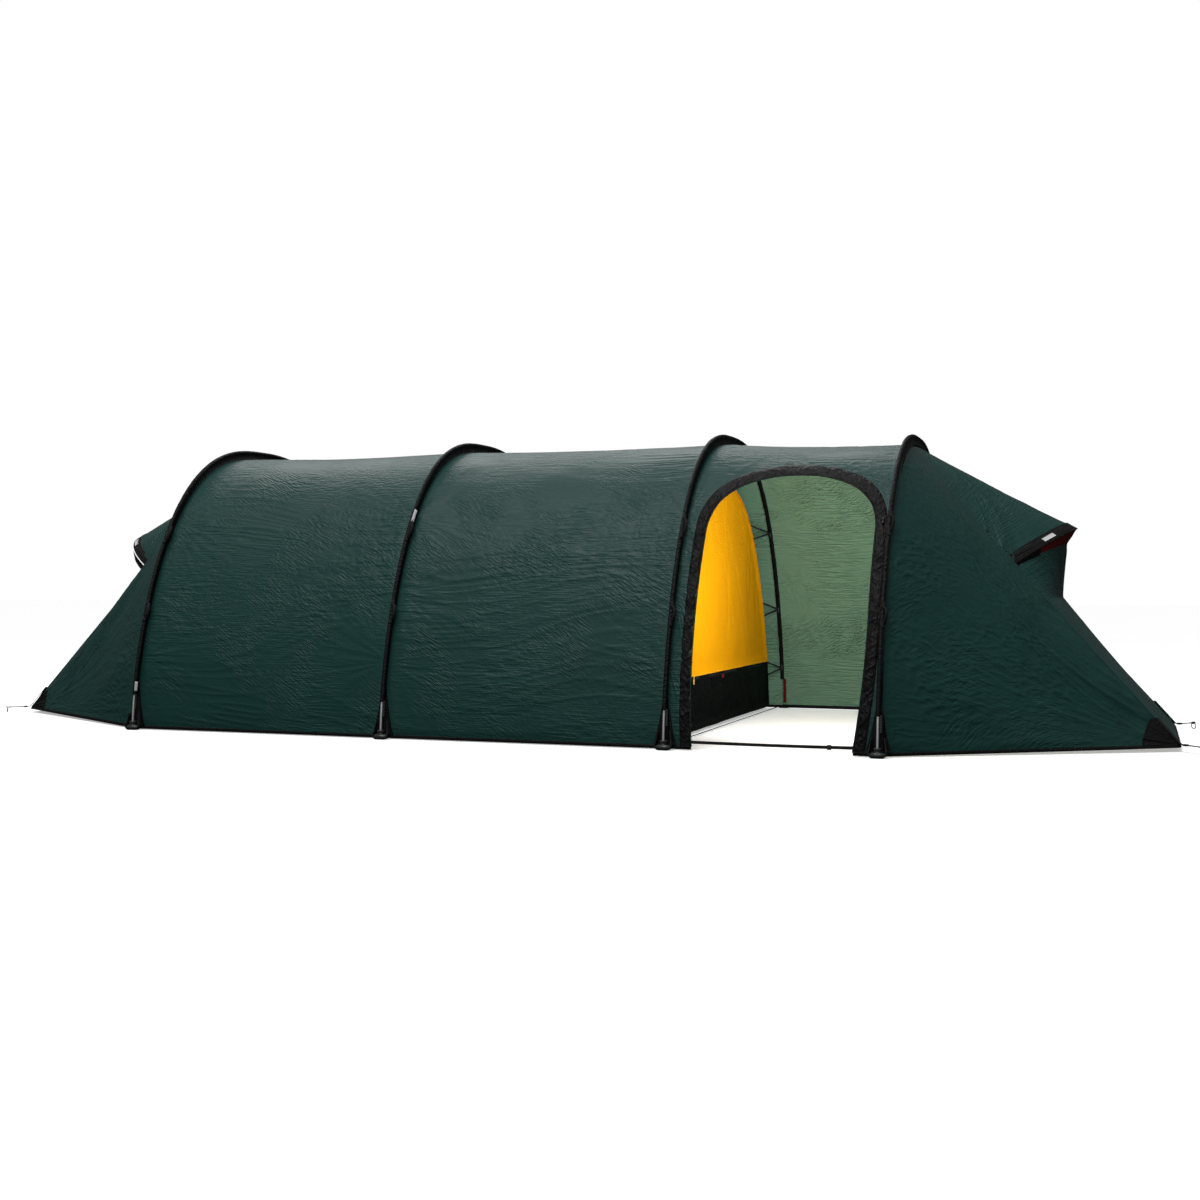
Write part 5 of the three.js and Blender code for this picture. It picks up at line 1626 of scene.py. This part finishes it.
def tub_line(count_side, count_floor):
    """The tub's section: down the near wall, over the floor and up the far wall."""
    top, foot = INNER_ARCH.at_height(TUB_HEIGHT), INNER_ARCH.at_height(TUB_FLOOR + 0.006)
    near = INNER_ARCH.at(np.linspace(top, foot, count_side)) + (0.0012, 0)
    y = np.linspace(near[-1, 0] + 0.012, -near[-1, 0] - 0.012, count_floor)
    floor = np.stack((y, np.full(count_floor, TUB_FLOOR - 0.0005)), -1)
    return np.concatenate((near, floor, near[::-1] * (-1, 1)))


def build_tub():
    """The waterproof tub: its floor with the turned-up sides, and its two ends."""
    line = tub_line(25, 91)
    x = np.linspace(INNER_BACK + INNER_INSET, INNER_FRONT - INNER_INSET, 121)
    distance, along = plane(path_length(line), x)
    points = in_3d(along, line[:, None] + np.zeros((1, 121, 1)))
    wall = ramp(points[..., 2], TUB_FLOOR, 0.06)
    fold = 0.003 * ridges(along / 0.12, distance / 0.05, 1010)
    fold = fold + 0.003 * noise(along / 0.2, distance / 0.1, 1011)
    from_top = ramp(TUB_HEIGHT - points[..., 2], 0, 0.03)
    points[..., 1] += np.sign(points[..., 1]) * (fold - 0.003) * wall * from_top
    points[..., 2] += 0.0015 * noise(along / 0.15, distance / 0.15, 1012) * (1 - wall)
    parts = [
        slab("tub", points, "tub", np.stack((along, distance), -1), -0.0005, 0.0005, (0, 0, 0.6)),
        tub_end(INNER_FRONT - INNER_INSET, 1, 1013),
        tub_end(INNER_BACK + INNER_INSET, -1, 1014),
    ]
    tub = join("inner_tub", parts)
    place(tub, "tub_fabric", stands_for=["inner_floor_tub"])


def tub_end(x, sign, seed):
    """An end of the tub, up to the zip."""
    up, across = plane(np.linspace(0, 1, 37), np.linspace(-1, 1, 161))
    low, high = INNER_ARCH.at_height(TUB_FLOOR), INNER_ARCH.at_height(TUB_HEIGHT)
    edge = INNER_ARCH.at(low + (high - low) * up)
    y, z = across * np.abs(edge[..., 0]), TUB_FLOOR + (TUB_HEIGHT - TUB_FLOOR) * up
    slant = ridges((y + 0.5 * z) / 0.16, (z - 0.3 * y) / 0.12, seed)
    crumple = ridges(y / 0.04, z / 0.035, seed + 1) * ramp(noise(y / 0.25, z / 0.2, seed + 2), 0, 0.5)
    held = ramp(1 - np.abs(across), 0, 0.04) * ramp(up, 0, 0.15) * ramp(1 - up, 0, 0.12)
    depth = (0.006 * slant + 0.003 * crumple + 0.005 * (1 - up)) * held
    points = np.stack((x - sign * depth, y, z), -1)
    return slab("tub_end", points, "tub", np.stack((y, z), -1), 0, 0.001, (x - sign * 0.5, 0, 0.1))


def build_inner_zip():
    """The zip between the front wall and the tub, its seam tapes and its slider with a square tab."""
    half = abs(INNER_ARCH.at(INNER_ARCH.at_height(TUB_HEIGHT))[0]) - 0.004
    y = np.linspace(-half, half, 600)
    line = np.stack((0 * y + INNER_FRONT - 0.0012, y, 0 * y + TUB_HEIGHT + 0.0003), -1)
    tape = line[::20] - (0.0002, 0, 0) - (0, 0, 0.007)
    parts = [
        sweep("teeth", line, thick_ring(0.0011 + 0.0005 * (np.arange(600) % 2), 6), "zip"),
        sweep("tape", tape, strap_section(0.011, 0.0012), "zip", up=X_WAY),
    ]
    place(join("inner_zip_teeth", parts), "black_trim")

    def hanging(y, start, stop, off, count):
        return [(INNER_FRONT + off, y, TUB_HEIGHT + z) for z in np.linspace(start, stop, count)]

    taper = 1 - 0.15 * np.linspace(0, 1, 15)
    taper[[0, -1]] *= 0.75
    body = hanging(INNER_ZIP_Y, 0.007, -0.007, 0.0008 + 0.002, 15)
    tab = hanging(INNER_ZIP_Y, -0.009, -0.030, 0.0008 + 0.0018, 15)
    parts = [
        sweep("body", body, thick_ring(0.007 * taper, 18, 0.28), "zip_yellow", up=X_WAY),
        sweep("tab", tab, strap_section(0.016, 0.0026, 5), "zip_yellow", up=X_WAY),
    ]
    place(join("inner_zip_puller", parts), "zip_pull", "inner_zip", ["inner_zip_slider"])
    tag = hanging(0.02, -0.012, -0.030, 0.0006, 8)
    place(sweep("inner_tag", tag, strap_section(0.034, 0.0014, 4), "red_tape", up=X_WAY), "black_trim")


def build_tie(number, level):
    """Two elastic legs from the inner tent's edge to a hook under the sleeve of hoop 3, on the far side."""
    arch = CLOTH_ARCHES[2]
    share = 1 - arch.at_height(level + BASE)
    inward = -in_3d(0.0, arch.normal(share))
    hook = in_3d(HOOP_X[2], arch.at(share)) + inward * CLOTH_INSIDE
    hook_piece = tie_hook(f"tie_hook_{number}", hook, inward)
    for leg, offset in (("low", -TIE_SPREAD), ("high", TIE_SPREAD)):
        edge_share = 1 - INNER_ARCH.at_height(hook[2] + offset)
        edge = in_3d(INNER_FRONT - 0.006, INNER_ARCH.at(edge_share))
        edge = edge + in_3d(0.0, INNER_ARCH.normal(edge_share)) * (TIE_RADIUS + 0.001)
        path = np.array([edge + (hook - edge) * k for k in np.linspace(0, 1, 16)])
        tape = strap_section(TIE_WIDTH, 2 * TIE_RADIUS, 5)
        made = sweep(f"tie_{number}_{leg}", path, tape, "elastic", up=(0, -1.0, 0.1))
        taut_cord(made, [f"elastic_tie_{number}"])
    place(hook_piece, "elastic")


def tie_hook(name, hook, inward):
    """The black toggle hook that both legs pull on."""
    bar = [hook + inward * 0.004 + UP * z for z in np.linspace(-0.016, 0.016, 17)]
    thick = 0.0036 - 0.0012 * np.abs(np.linspace(-1, 1, 17)) ** 3
    turn = np.linspace(0, math.pi, 17)
    eye = [hook + inward * (0.004 + 0.006 * math.sin(a)) + X_WAY * (0.006 * math.cos(a)) for a in turn]
    parts = [
        sweep("bar", bar, thick_ring(thick, 12), "plastic", up=X_WAY),
        sweep("eye", eye, ring_section(0.0014, 8), "plastic", up=UP),
    ]
    return join(name, parts)


def build_ground_cord():
    """The cord on the ground between the feet of hoop 3."""
    reach = HOOP_HALF - SIDE_INSET - 0.010
    path = np.array([(HOOP_X[2] - 0.020, y, 0.009) for y in np.linspace(-reach, reach, 33)])
    made = sweep("hoop_ground_cord", path, ring_section(TIE_RADIUS, 12), "elastic", up=UP)
    taut_cord(made, ["ground_cord"])


def build_red_webbing():
    """The foot webbing that shows inside the porch at hoop 3's far side."""
    arch = CLOTH_ARCHES[2]
    share = 1 - np.array([arch.at_height(z) for z in np.linspace(0.030, 0.150, 25)])
    normal = arch.normal(share)
    path = in_3d(HOOP_X[2] + 0.012, arch.at(share) - normal * 0.006)
    basis = level_basis(path, in_3d(0.0, normal))
    webbing = sweep("red_foot_webbing", path, strap_section(0.015, 0.002, 4), "red_tape", basis=basis)
    place(webbing, "webbing")


build_inner()
build_tub()
build_inner_zip()
for number, level in enumerate(TIE_LEVELS, 1):
    build_tie(number, level)
build_ground_cord()
build_red_webbing()
